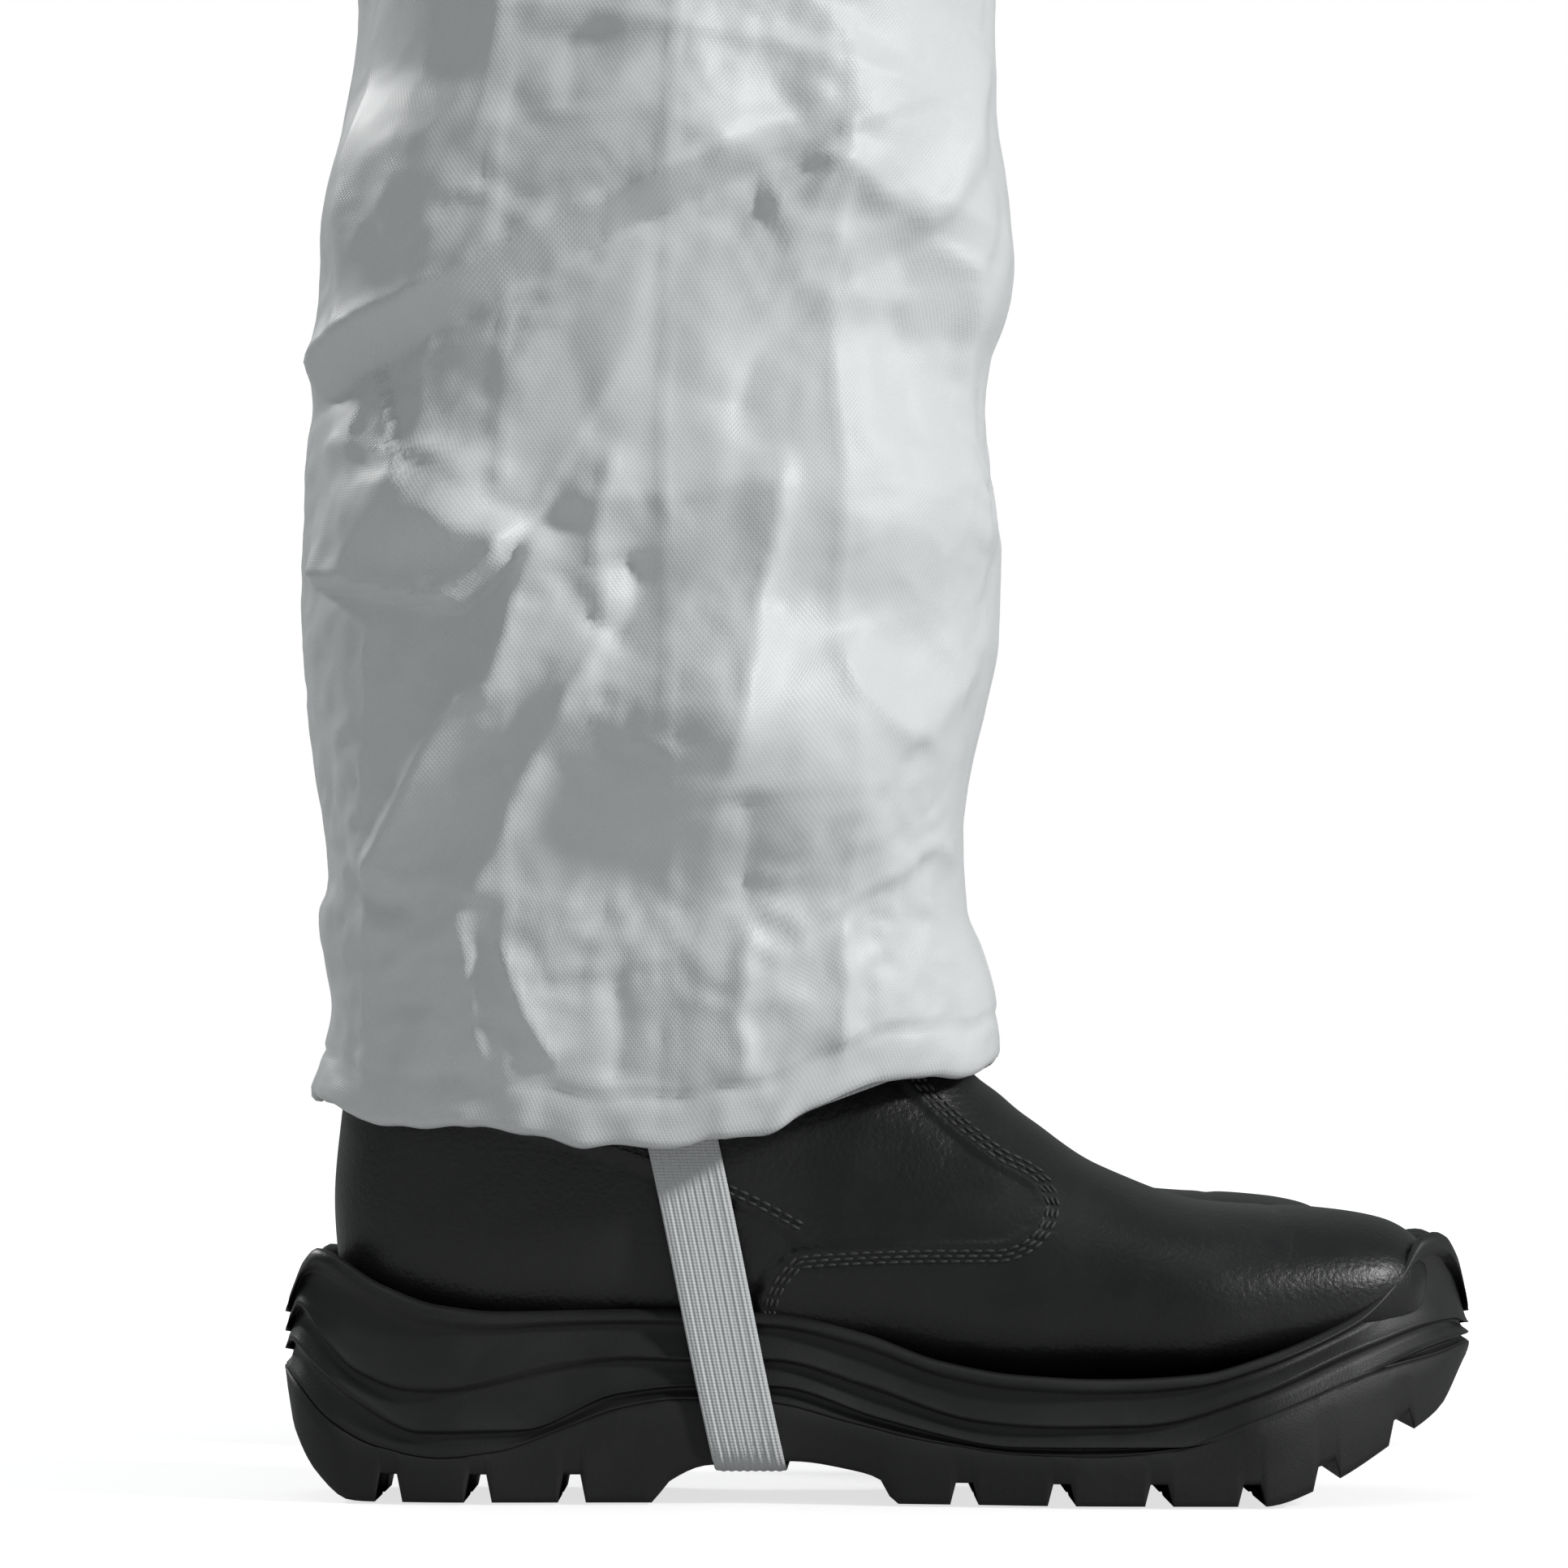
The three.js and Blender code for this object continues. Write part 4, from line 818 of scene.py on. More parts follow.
def outsole(side, material):
    sign = SIDES[side]
    breaks = []
    for centre in GROOVES:
        for reach in (GROOVE["mouth"] / 2 + 0.5, GROOVE["mouth"] / 2, GROOVE["floor"] / 2, GROOVE["floor"] / 2 - 0.4):
            breaks += [centre - reach, centre + reach]
    x = sole_stations(2.2, breaks)
    top = through(SOLE_RIDGES[3])(x) + 0.2
    under = tread_height(x, 2.5)
    rows = []
    wall = [(0.0, 1.4), (0.03, 0.5), (0.08, 0.1), (0.3, 0.0), (0.6, 0.25), (0.9, 0.55), (0.97, 0.8), (1.0, 1.5)]
    for half_side in (0, 1):
        column = []
        for share, inset in wall:
            at, outer, inner = outline(x, inset)
            half = (-outer, inner)[half_side]
            column.append(np.stack([at, half, top + (under - top) * share], -1))
        rows.append(column)
    across = []
    for share in np.linspace(0, 1, 15)[1:-1]:
        at, outer, inner = outline(x, 1.5)
        y = -outer + (outer + inner) * share
        channel = 3.2 * np.exp(-((share - 0.5) / 0.045) ** 4)
        lifted = np.where(under < 0.5, np.maximum(under, channel), under)
        across.append(np.stack([at, y, lifted], -1))
    sections = rows[0] + across + rows[1][::-1]
    lid = []
    for share in (0.25, 0.5, 0.75):
        at, outer, inner = outline(x, 1.4)
        lid.append(np.stack([at, inner - (outer + inner) * share, top], -1))
    grid = np.stack(sections + lid, 1)
    right = place(grid + np.array([0, -STANCE, 0]))
    return grid_object(f"boot_outsole_shell_{side}", on_side(side, right), material, flip=sign < 0)


def stirrup(side, material, boot_pieces):
    """Ribbed knit strap, taut round the boot from inside the hem to under the arch."""
    sign = SIDES[side]
    cloud = []
    for piece in boot_pieces:
        for vertex in piece.data.vertices:
            x = (vertex.co.x - SHIFT) / MM
            y = vertex.co.y / MM * sign + STANCE
            z = vertex.co.z / MM
            lean = STRAP["x"] + (STRAP["z"] - z) * STRAP["lean"]
            if abs(x - lean) < STRAP["width"] / 2 + 1.5 and z < STRAP["top"] + 10:
                cloud.append((y, z))
    cloud = np.array(cloud)
    angles = np.linspace(-0.5 * np.pi, 1.5 * np.pi, 721)
    centre = np.array([0, 70.0])
    support = np.array([(cloud @ np.array([np.cos(a), np.sin(a)])).max() for a in angles])
    clearance = STRAP["thickness"] / 2 + 0.55
    hull = []
    for k in range(len(angles) - 1):
        a, b = angles[k], angles[k + 1]
        system = np.array([[np.cos(a), np.sin(a)], [np.cos(b), np.sin(b)]])
        hull.append(np.linalg.solve(system, np.array([support[k], support[k + 1]]) + clearance))
    hull = np.array(hull + hull[:1])
    corners = np.linspace(0, len(hull) - 1, (len(hull) - 1) * 30 + 1)
    hull = np.stack([np.interp(corners, np.arange(len(hull)), hull[:, k]) for k in (0, 1)], -1)
    lower = hull[hull[:, 1] < STRAP["top"]]
    order = np.argsort(np.arctan2(lower[:, 0] - centre[0], -(lower[:, 1] - centre[1])))
    path = lower[order]
    lengths = np.concatenate([[0], np.cumsum(np.hypot(*np.diff(path, axis=0).T))])
    at = np.linspace(0, lengths[-1], 260)
    path = np.stack([np.interp(at, lengths, path[:, k]) for k in (0, 1)], -1)
    kernel = np.ones(9) / 9
    for _ in range(2):
        inner = np.stack([np.convolve(path[:, k], kernel, "same") for k in (0, 1)], -1)
        path[8:-8] = inner[8:-8]
    run = np.gradient(path, axis=0)
    run /= np.linalg.norm(run, axis=1, keepdims=True)
    outward = np.stack([run[:, 1], -run[:, 0]], -1)
    if (outward * (path - centre)).sum() < 0:
        outward = -outward
    share = np.linspace(-0.5, 0.5, STRAP["ribs"] * 6 + 1)
    rib = np.abs(np.sin(share * np.pi * STRAP["ribs"])) * 0.24
    ladder = np.sin(at / 0.55)[:, None] * 0.05 * np.cos(share * np.pi * STRAP["ribs"] * 2)[None, :]
    curl = np.clip((np.abs(share) - 0.44) / 0.06, 0, 1) ** 2 * -0.5
    top = STRAP["thickness"] / 2 + rib + curl - 0.2
    faces_of = []
    for layer in (top[None, :] + ladder, np.full((len(at), len(share)), -STRAP["thickness"] / 2)):
        y = path[:, 0][:, None] + outward[:, 0][:, None] * layer
        z = path[:, 1][:, None] + outward[:, 1][:, None] * layer
        wander = np.sin(at / 23.0) * 0.5
        x = STRAP["x"] + (STRAP["z"] - z) * STRAP["lean"] + share[None, :] * STRAP["width"] + wander[:, None]
        faces_of.append(np.stack([x, y - STANCE, z], -1))
    ring = np.concatenate([faces_of[0], faces_of[1][:, ::-1]], 1)
    right = place(ring)
    made = grid_object(f"stirrup_{side}", on_side(side, right), material, flip=sign > 0)
    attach(made, f"{side}_lower_leg")
    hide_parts(f"{side}_stirrup_strap")
    return made


# ------------------------------------------------------------------ node helpers
def node(tree, kind, settings=None, **inputs):
    """Adds a shader node; inputs are values or sockets to link from, by name with _ for a space."""
    made = tree.nodes.new(kind)
    for name, value in (settings or {}).items():
        setattr(made, name, value)
    for name, value in inputs.items():
        key = int(name[1:]) if name[0] == "i" and name[1:].isdigit() else name.replace("_", " ")
        if isinstance(value, bpy.types.NodeSocket):
            tree.links.new(value, made.inputs[key])
        else:
            made.inputs[key].default_value = value
    return made


def maths(tree, operation, first, second=0.0, third=None):
    made = tree.nodes.new("ShaderNodeMath")
    made.operation = operation
    for slot, value in enumerate([first, second] + ([] if third is None else [third])):
        if isinstance(value, bpy.types.NodeSocket):
            tree.links.new(value, made.inputs[slot])
        else:
            made.inputs[slot].default_value = value
    return made.outputs[0]


def new_group(name, inputs, outputs):
    """Shader node group with named sockets: (tree, its inputs, its output node)."""
    tree = bpy.data.node_groups.new(name, "ShaderNodeTree")
    for label, kind, default in inputs:
        socket = tree.interface.new_socket(label, in_out="INPUT", socket_type=kind)
        if default is not None:
            socket.default_value = default
    for label, kind in outputs:
        tree.interface.new_socket(label, in_out="OUTPUT", socket_type=kind)
    start = tree.nodes.new("NodeGroupInput")
    end = tree.nodes.new("NodeGroupOutput")
    return tree, start.outputs, end


VECTOR, NUMBER = "NodeSocketVector", "NodeSocketFloat"


def weave_group():
    """Crossed diagonal lines pressed into the laminate."""
    tree, given, end = new_group("Pressed Lattice", [("Place", VECTOR, None), ("Pitch", NUMBER, 0.0016)],
                                 [("Height", NUMBER)])
    parts = node(tree, "ShaderNodeSeparateXYZ", i0=given["Place"])
    waves = []
    for lean in (1.0, -0.72):
        sloped = maths(tree, "MULTIPLY", parts.outputs[1], lean)
        total = maths(tree, "ADD", parts.outputs[0], sloped)
        turn = maths(tree, "MULTIPLY", maths(tree, "DIVIDE", total, given["Pitch"]), 2 * math.pi)
        waves.append(maths(tree, "SINE", turn))
    product = maths(tree, "MAXIMUM", waves[0], maths(tree, "MULTIPLY", waves[1], 0.8))
    tree.links.new(product, end.inputs["Height"])
    return tree


def crease_group():
    """Fine sharp crumples of thin film."""
    tree, given, end = new_group("Film Creases", [("Place", VECTOR, None), ("Scale", NUMBER, 60.0)],
                                 [("Height", NUMBER)])
    bend = node(tree, "ShaderNodeTexNoise", Vector=given["Place"], Scale=22.0, Detail=2.0)
    moved = node(tree, "ShaderNodeVectorMath", {"operation": "MULTIPLY_ADD"}, i0=bend.outputs["Color"],
                 i1=(0.03, 0.03, 0.03), i2=given["Place"])
    ridged = node(tree, "ShaderNodeTexNoise", {"noise_type": "RIDGED_MULTIFRACTAL", "normalize": True},
                  Vector=moved.outputs[0], Scale=given["Scale"], Detail=3.5, Roughness=0.55)
    tree.links.new(ridged.outputs[0], end.inputs["Height"])
    return tree


def grain_group():
    """Pebbled cells with fine pores, for leather and moulded rubber."""
    tree, given, end = new_group("Pebbled Grain", [("Place", VECTOR, None), ("Scale", NUMBER, 900.0)],
                                 [("Height", NUMBER), ("Pores", NUMBER)])
    cells = node(tree, "ShaderNodeTexVoronoi", {"feature": "SMOOTH_F1"}, Vector=given["Place"], Scale=given["Scale"],
                 Smoothness=0.4)
    pores = node(tree, "ShaderNodeTexNoise", Vector=given["Place"], Scale=maths(tree, "MULTIPLY", given["Scale"], 1.7),
                 Detail=3.0)
    mixed = maths(tree, "ADD", maths(tree, "MULTIPLY", cells.outputs["Distance"], -0.8), pores.outputs[0])
    tree.links.new(mixed, end.inputs["Height"])
    tree.links.new(pores.outputs[0], end.inputs["Pores"])
    return tree


def marks_group():
    """Soft patches of handling and dust, 0 to 1."""
    tree, given, end = new_group("Handling Marks", [("Place", VECTOR, None), ("Scale", NUMBER, 14.0),
                                                    ("Amount", NUMBER, 0.5)], [("Mask", NUMBER)])
    large = node(tree, "ShaderNodeTexNoise", Vector=given["Place"], Scale=given["Scale"], Detail=6.0, Roughness=0.62)
    spread_out = node(tree, "ShaderNodeMapRange", i0=large.outputs[0], i1=0.42, i2=0.72, i3=0.0, i4=1.0)
    tree.links.new(maths(tree, "MULTIPLY", spread_out.outputs[0], given["Amount"]), end.inputs["Mask"])
    return tree


def ribs_group():
    """Knitted ribs crossed by fine courses."""
    tree, given, end = new_group("Knit Ribs", [("Place", VECTOR, None), ("Pitch", NUMBER, 0.001)],
                                 [("Height", NUMBER)])
    parts = node(tree, "ShaderNodeSeparateXYZ", i0=given["Place"])
    waves = []
    for socket, ratio in ((parts.outputs[0], 1.0), (parts.outputs[1], 1.4)):
        turn = maths(tree, "MULTIPLY", maths(tree, "DIVIDE", socket, given["Pitch"]), 2 * math.pi * ratio)
        waves.append(maths(tree, "SINE", turn))
    tree.links.new(maths(tree, "ADD", waves[0], maths(tree, "MULTIPLY", waves[1], 0.6)), end.inputs["Height"])
    return tree


class Finish:
    """One material under construction: its Principled shader, its place on the surface and its bumps."""

    def __init__(self, name, roughness, use_map=False, **constants):
        self.material = bpy.data.materials.new(name)
        self.material.use_nodes = True
        self.tree = self.material.node_tree
        self.shader = self.tree.nodes["Principled BSDF"]
        self.shader.inputs["Roughness"].default_value = roughness
        for label, value in constants.items():
            self.shader.inputs[label.replace("_", " ")].default_value = value
        if use_map:
            self.place = node(self.tree, "ShaderNodeUVMap", {"uv_map": "fabric"}).outputs[0]
        else:
            self.place = node(self.tree, "ShaderNodeTexCoord").outputs["Object"]
        self.normal = None

    def effect(self, group, output, **inputs):
        made = self.tree.nodes.new("ShaderNodeGroup")
        made.node_tree = group
        self.tree.links.new(self.place, made.inputs["Place"])
        for label, value in inputs.items():
            made.inputs[label].default_value = value
        return made.outputs[output]

    def bump(self, height, metres, strength=1.0):
        made = node(self.tree, "ShaderNodeBump", Height=height, Distance=metres, Strength=strength)
        if self.normal is not None:
            self.tree.links.new(self.normal, made.inputs["Normal"])
        self.normal = made.outputs[0]
        self.tree.links.new(self.normal, self.shader.inputs["Normal"])

    # Mixes two colours by a mask: on most finishes the second colour holds random marks and dust; on the ribbed knit,
    # band, tape and webbing it is painted shade in the grooves between the ribs.
    def colour(self, mask, clean, marked_and_shaded):
        mix = node(self.tree, "ShaderNodeMix", {"data_type": "RGBA"}, i0=mask)
        mix.inputs[6].default_value = (*clean, 1)
        mix.inputs[7].default_value = (*marked_and_shaded, 1)
        self.tree.links.new(mix.outputs[2], self.shader.inputs["Base Color"])

    def roughness(self, mask, low, high):
        spread_out = node(self.tree, "ShaderNodeMapRange", i0=mask, i1=0.0, i2=1.0, i3=low, i4=high)
        self.tree.links.new(spread_out.outputs[0], self.shader.inputs["Roughness"])


def darker(colour, share):
    return tuple(channel * share for channel in colour)


def build_finishes():
    """All materials of the suit and boots, by name."""
    fabric = bpy.context.scene.suit_fabric
    boots = bpy.context.scene.suit_boots
    lattice, creases, grain = weave_group(), crease_group(), grain_group()
    marks, ribs = marks_group(), ribs_group()
    made = {}

    film = Finish("white_laminate", 0.5, use_map=True, Specular_IOR_Level=0.42, Sheen_Weight=0.08)
    mask = film.effect(marks, "Mask", Scale=9.0, Amount=0.5)
    film.colour(mask, fabric.colour, darker(fabric.colour, 0.95))
    film.roughness(mask, 0.42, 0.58)
    film.bump(film.effect(creases, "Height", Scale=22.0), 0.0026, 0.6 * fabric.creasing)
    film.bump(film.effect(creases, "Height", Scale=70.0), 0.0012, 0.5 * fabric.creasing)
    film.bump(film.effect(lattice, "Height", Pitch=fabric.lattice_pitch), 0.00007, 0.5)
    made["fabric"] = film.material

    knit = Finish("white_knit", 0.86, use_map=True, Sheen_Weight=0.3)
    height = knit.effect(ribs, "Height", Pitch=0.0011)
    # Painted shade: the knit's colour darkens in the grooves between its ribs, following the same rib height as its
    # bump.
    knit.colour(maths(knit.tree, "MULTIPLY_ADD", height, -0.2, 0.4), (0.74, 0.755, 0.765), (0.62, 0.635, 0.65))
    knit.bump(height, 0.0002, 0.5)
    made["knit"] = knit.material

    band = Finish("elastic_band", 0.8, Sheen_Weight=0.3)
    height = band.effect(ribs, "Height", Pitch=0.0012)
    # Painted shade: the band's colour darkens in the grooves between its ribs, following the same rib height as its
    # bump.
    band.colour(maths(band.tree, "MULTIPLY_ADD", height, -0.2, 0.4), (0.7, 0.71, 0.72), (0.5, 0.5, 0.52))
    band.bump(height, 0.0002, 0.6)
    made["elastic"] = band.material

    leather = Finish("black_leather", 0.4, Specular_IOR_Level=0.5)
    mask = leather.effect(marks, "Mask", Scale=26.0, Amount=0.6)
    leather.colour(mask, boots.leather_colour, tuple(channel * 2.2 for channel in boots.leather_colour))
    leather.roughness(mask, 0.34, 0.55)
    leather.bump(leather.effect(grain, "Height", Scale=620.0), 0.00025, 0.4)
    leather.bump(leather.effect(grain, "Height", Scale=1900.0), 0.0001, 0.35)
    made["leather"] = leather.material

    thread = Finish("boot_thread", 0.6)
    thread.colour(thread.effect(marks, "Mask", Scale=900.0, Amount=1.0), (0.03, 0.03, 0.031), (0.06, 0.06, 0.062))
    thread.bump(thread.effect(grain, "Height", Scale=2500.0), 0.0001, 0.6)
    made["thread"] = thread.material

    rubbers = (("midsole", boots.sole_colour, 0.44, 0.62), ("outsole", (0.012, 0.012, 0.012), 0.5, 0.7))
    for name, colour, low, high in rubbers:
        rubber = Finish(f"{name}_rubber", low, Specular_IOR_Level=0.45)
        mask = rubber.effect(marks, "Mask", Scale=30.0, Amount=0.7)
        rubber.colour(mask, colour, tuple(channel * 1.9 for channel in colour))
        rubber.roughness(mask, low, high)
        rubber.bump(rubber.effect(grain, "Height", Scale=1500.0), 0.0001, 0.4)
        made[name] = rubber.material

    plastic = Finish("zip_plastic", 0.32, Specular_IOR_Level=0.5)
    plastic.colour(plastic.effect(marks, "Mask", Scale=60.0, Amount=0.6), (0.7, 0.71, 0.72), (0.6, 0.61, 0.62))
    plastic.bump(plastic.effect(grain, "Height", Scale=2000.0), 0.00005, 0.4)
    made["plastic"] = plastic.material

    tape = Finish("zip_tape", 0.85, Sheen_Weight=0.2)
    height = tape.effect(ribs, "Height", Pitch=0.0009)
    # Painted shade: the tape's colour darkens in the grooves between its ribs, following the same rib height as its
    # bump.
    tape.colour(maths(tape.tree, "MULTIPLY_ADD", height, -0.15, 0.4), (0.76, 0.77, 0.78), (0.56, 0.57, 0.58))
    tape.bump(height, 0.0002, 0.6)
    made["tape"] = tape.material

    paper = Finish("adhesive_liner", 0.3, Coat_Weight=0.3)
    paper.colour(paper.effect(marks, "Mask", Scale=40.0, Amount=0.8), (0.78, 0.76, 0.68), (0.66, 0.64, 0.58))
    paper.bump(paper.effect(creases, "Height", Scale=120.0), 0.0002, 0.5)
    made["adhesive"] = paper.material

    felt = Finish("insole_felt", 0.95, Sheen_Weight=0.5)
    felt.colour(felt.effect(grain, "Pores", Scale=1200.0), (0.06, 0.062, 0.066), (0.16, 0.16, 0.17))
    felt.bump(felt.effect(grain, "Height", Scale=900.0), 0.0004, 0.8)
    made["felt"] = felt.material

    webbing = Finish("black_webbing", 0.8, Sheen_Weight=0.3)
    height = webbing.effect(ribs, "Height", Pitch=0.0014)
    # Painted shade: the webbing's colour darkens in the grooves between its ribs, following the same rib height as its
    # bump.
    webbing.colour(maths(webbing.tree, "MULTIPLY_ADD", height, -0.2, 0.4), (0.02, 0.02, 0.021), (0.008, 0.008, 0.008))
    webbing.bump(height, 0.0003, 0.8)
    made["webbing"] = webbing.material

    steel = Finish("pressed_steel", 0.36, Metallic=1.0)
    mask = steel.effect(marks, "Mask", Scale=50.0, Amount=0.9)
    steel.colour(mask, (0.5, 0.5, 0.51), (0.34, 0.33, 0.32))
    steel.roughness(mask, 0.3, 0.55)
    steel.bump(steel.effect(grain, "Height", Scale=800.0), 0.0001, 0.3)
    made["steel"] = steel.material
    return made


FINISHES = {}


def finish(name):
    if not FINISHES:
        FINISHES.update(build_finishes())
    return FINISHES[name]


def paint_node(name, material):
    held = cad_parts[name]
    held.data.materials.clear()
    held.data.materials.append(material)


# ------------------------------------------------------------------ the suit's pieces
def trunk_side(x, z):
    """Half width of the trunk at points seen from the side."""
    back, half = through(BODY_BACK)(z), through(BODY_HALF)(z)
    centre, reach = (CHEST_X + back) / 2, (CHEST_X - back) / 2
    return half * np.clip(1 - np.abs((x - centre) / reach) ** 3, 0, 1) ** (1 / 3)


def open_ring(ring, gap):
    """The ring cut open at its front, from gap on the -Y side to gap on the +Y side, evenly spaced."""
    closed = np.vstack([ring, ring[:1]])
    run = np.concatenate([[0], np.cumsum(np.hypot(*np.diff(closed, axis=0).T))])
    at = np.linspace(gap, run[-1] - gap, len(ring))
    return np.stack([np.interp(at, run, closed[:, k]) for k in (0, 1)], -1)


def pinned_near(distance, reach):
    """Pin weight that fades from 1 at an edge to 0 at reach."""
    return np.clip(1 - np.asarray(distance, float) / reach, 0, 1)


def build_leg(side, material):
    seed = {"right": 7, "left": 407}[side]
    grid = leg_grid(300, seed)
    points = place(grid)
    leg = grid_object(f"trouser_leg_{side}", on_side(side, points), material, flip=side == "right")
    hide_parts(f"{side}_thigh_front", f"{side}_thigh_back", f"{side}_shin_front", f"{side}_shin_back")
    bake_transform(leg)
    return leg


def build_trunk(material):
    columns, step = 96, 12.0
    levels = np.append(np.arange(CROTCH_Z - 6, NECK_Z - 4, step), [NECK_Z - 1, NECK_Z + 8])
    rings = []
    for level in levels:
        gap = 7.0 * float(ease(868, 884, level)) + 0.3
        fine = trunk_ring(min(level, NECK_Z), 480)
        fine *= 1 - 0.045 * float(ease(NECK_Z - 12, NECK_Z, level))
        flat = open_ring(fine, gap)[:: 480 // columns]
        last = open_ring(fine, gap)[-1]
        rings.append(np.column_stack([np.vstack([flat, last]), np.full(columns + 1, level)]))
    grid = np.stack(rings)
    near_zip = np.exp(-(grid[..., 1] / 16) ** 2) * (grid[..., 0] > 0) * ease(868, 884, grid[..., 2])
    grid[..., 0] += near_zip * 1.2
    trunk = grid_object("trunk_fabric", place(grid), material, closed=False, flip=True)
    flat = grid.reshape(-1, 3)
    front = np.abs(flat[:, 1]) + 200 * (flat[:, 0] < 0)
    ring_away = np.hypot(flat[:, 0] - SHOULDER["x"], flat[:, 2] - SHOULDER["z"]) + 300 * (np.abs(flat[:, 1]) < 120)
    pin = np.maximum.reduce([
        pinned_near(flat[:, 2] - levels[0], 30), pinned_near(levels[-1] - flat[:, 2], 26),
        pinned_near(np.maximum(front - 12, 0), 26), pinned_near(np.maximum(ring_away - 96, 0), 26),
        pinned_near(np.maximum(np.abs(flat[:, 2] - WAIST_Z) - 8, 0), 22)])
    hang([(trunk, pin)], 0.045, 24, 0.013)
    refine(trunk, 2)

    def folds(points, normal):
        z = points[:, 2]
        held = ease(levels[0], levels[0] + 24, z) * ease(0, 30, levels[-1] - z)
        held *= ease(8, 26, np.abs(points[:, 1]) + 60 * (points[:, 0] < 0))
        turn = np.arctan2(points[:, 1], points[:, 0] + 50) / (2 * np.pi)
        drawn = gathers(turn, np.abs(z - WAIST_Z) - 9, 611, 16, 3.2, 30) * (np.abs(turn) > 0.12)
        casing = -2.0 * (np.exp(-((np.abs(z - WAIST_Z) - 11) / 1.8) ** 2)) * (np.abs(turn) > 0.14)
        slack = sharp(noise(points * np.array([1, 1, 1.7]), 130.0, 612), 0.06) * 3.0
        return (crumple(points, 613, 62.0) * 1.5 + slack) * held + (drawn + casing) * held

    raise_surface(trunk, folds)
    hole = SHOULDER["hole"]

    def inside(centre):
        local = ((centre.x - SHIFT) / MM, centre.y / MM, centre.z / MM)
        return abs(local[1]) > 130 and math.hypot(local[0] - SHOULDER["x"], local[2] - SHOULDER["z"]) < hole

    def snap(vertex):
        dx, dz = (vertex.co.x - SHIFT) / MM - SHOULDER["x"], vertex.co.z / MM - SHOULDER["z"]
        away = math.hypot(dx, dz)
        if abs(vertex.co.y) > 0.13 and away < hole + 12:
            vertex.co.x = SHIFT + (SHOULDER["x"] + dx / away * hole) * MM
            vertex.co.z = (SHOULDER["z"] + dz / away * hole) * MM

    cut_opening(trunk, inside, snap)
    trunk.data.shade_smooth()
    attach(trunk, "suit")
    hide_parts("lower_front_right", "lower_front_left", "seat_back", "chest_front_right",
                "chest_front_left", "upper_back")
    return trunk


def sleeve_points(start, end, rows, columns):
    """Rings of the right sleeve; before section 1 they run out from the trunk's armhole."""
    grid = sleeve_grid(max(start, 0), end, rows, columns)
    if start > 0:
        return grid
    turn = np.arctan2(grid[..., 2] - SHOULDER["z"], grid[..., 0] - SHOULDER["x"])
    radius = SHOULDER["hole"] + 3.0
    x = SHOULDER["x"] + radius * np.cos(turn[0])
    z = SHOULDER["z"] + radius * np.sin(turn[0])
    rim = np.stack([x, -(trunk_side(x, z) + 1.0), z], -1)
    tuck = np.stack([SHOULDER["x"] + (radius - 6) * np.cos(turn[0]), -(trunk_side(x, z) - 7),
                     SHOULDER["z"] + (radius - 6) * np.sin(turn[0])], -1)
    section = np.linspace(0, end, rows)
    for r in range(rows):
        share = float(ease(0, 1.4, section[r]))
        grid[r] = rim + (grid[r] - rim) * share
    return np.concatenate([tuck[None], grid], 0)


def build_sleeve(side, part, material):
    sign = SIDES[side]
    seed = {"right": 700, "left": 760}[side] + (0 if part == "upper" else 30)
    columns = 44
    if part == "upper":
        grid = sleeve_points(0, SLEEVE_SPLIT, 24, columns)
    else:
        grid = sleeve_points(SLEEVE_SPLIT, len(SLEEVE) - 1, 34, columns)
    points = place(grid)
    sleeve = grid_object(f"sleeve_{part}_{side}", on_side(side, points), material, flip=sign > 0)
    rows = grid.shape[0]
    number = np.repeat(np.arange(rows), columns)
    pin = np.maximum(pinned_near(np.maximum(number - 2, 0), 3), pinned_near(rows - 1 - number, 2.5))
    hang([(sleeve, pin)], 0.055, 22, 0.014)
    refine(sleeve, 2)
    low = grid[-1, 0, 2]

    def folds(local, normal):
        z = local[:, 2]
        y = np.abs(local[:, 1])
        if part == "upper":
            held = ease(206, 232, y) * ease(0, 26, z - low)
        else:
            held = ease(0, 26, grid[0, :, 2].min() - z) * ease(0, 10, z - low)
        elbow = np.exp(-((z - 1105) / 70) ** 2)
        slack = sharp(noise(local * np.array([1, 1, 1.5]), 74.0, seed), 0.06) * (2.0 + 4.0 * elbow)
        made = (crumple(local, seed + 5, 48.0) * 1.35 + slack) * held
        if part == "forearm":
            turn = np.arctan2(y - 302, local[:, 0] + 55) / (2 * np.pi)
            made += gathers(turn, np.abs(z - low - 10) - 6, seed + 9, 8, 1.9, 22) * ease(0, 6, z - low)
            made -= 1.1 * np.exp(-((z - low - 19) / 1.8) ** 2)
        return made

    raise_surface(sleeve, folds)
    if part == "upper":
        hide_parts(f"{side}_upper_sleeve")
        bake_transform(sleeve)
    else:
        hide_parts(f"{side}_forearm_sleeve", f"{side}_cuff_elastic")
        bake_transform(sleeve)
    return sleeve


def face_edge(turn, reach=0.0):
    """Point on the hood's front at an angle round the face opening, in millimetres."""
    y = (FACE["half_width"] + reach) * math.cos(turn)
    z = FACE["z"] + (FACE["half_height"] + reach) * math.sin(turn)
    back, front, half = (float(through(table)(z)) for table in (HOOD_BACK, HOOD_FRONT, HOOD_HALF))
    side = max(0.0, 1 - abs(y / half) ** HOOD_SQUARENESS) ** (1 / HOOD_SQUARENESS)
    return (front + back) / 2 + (front - back) / 2 * side, y, z


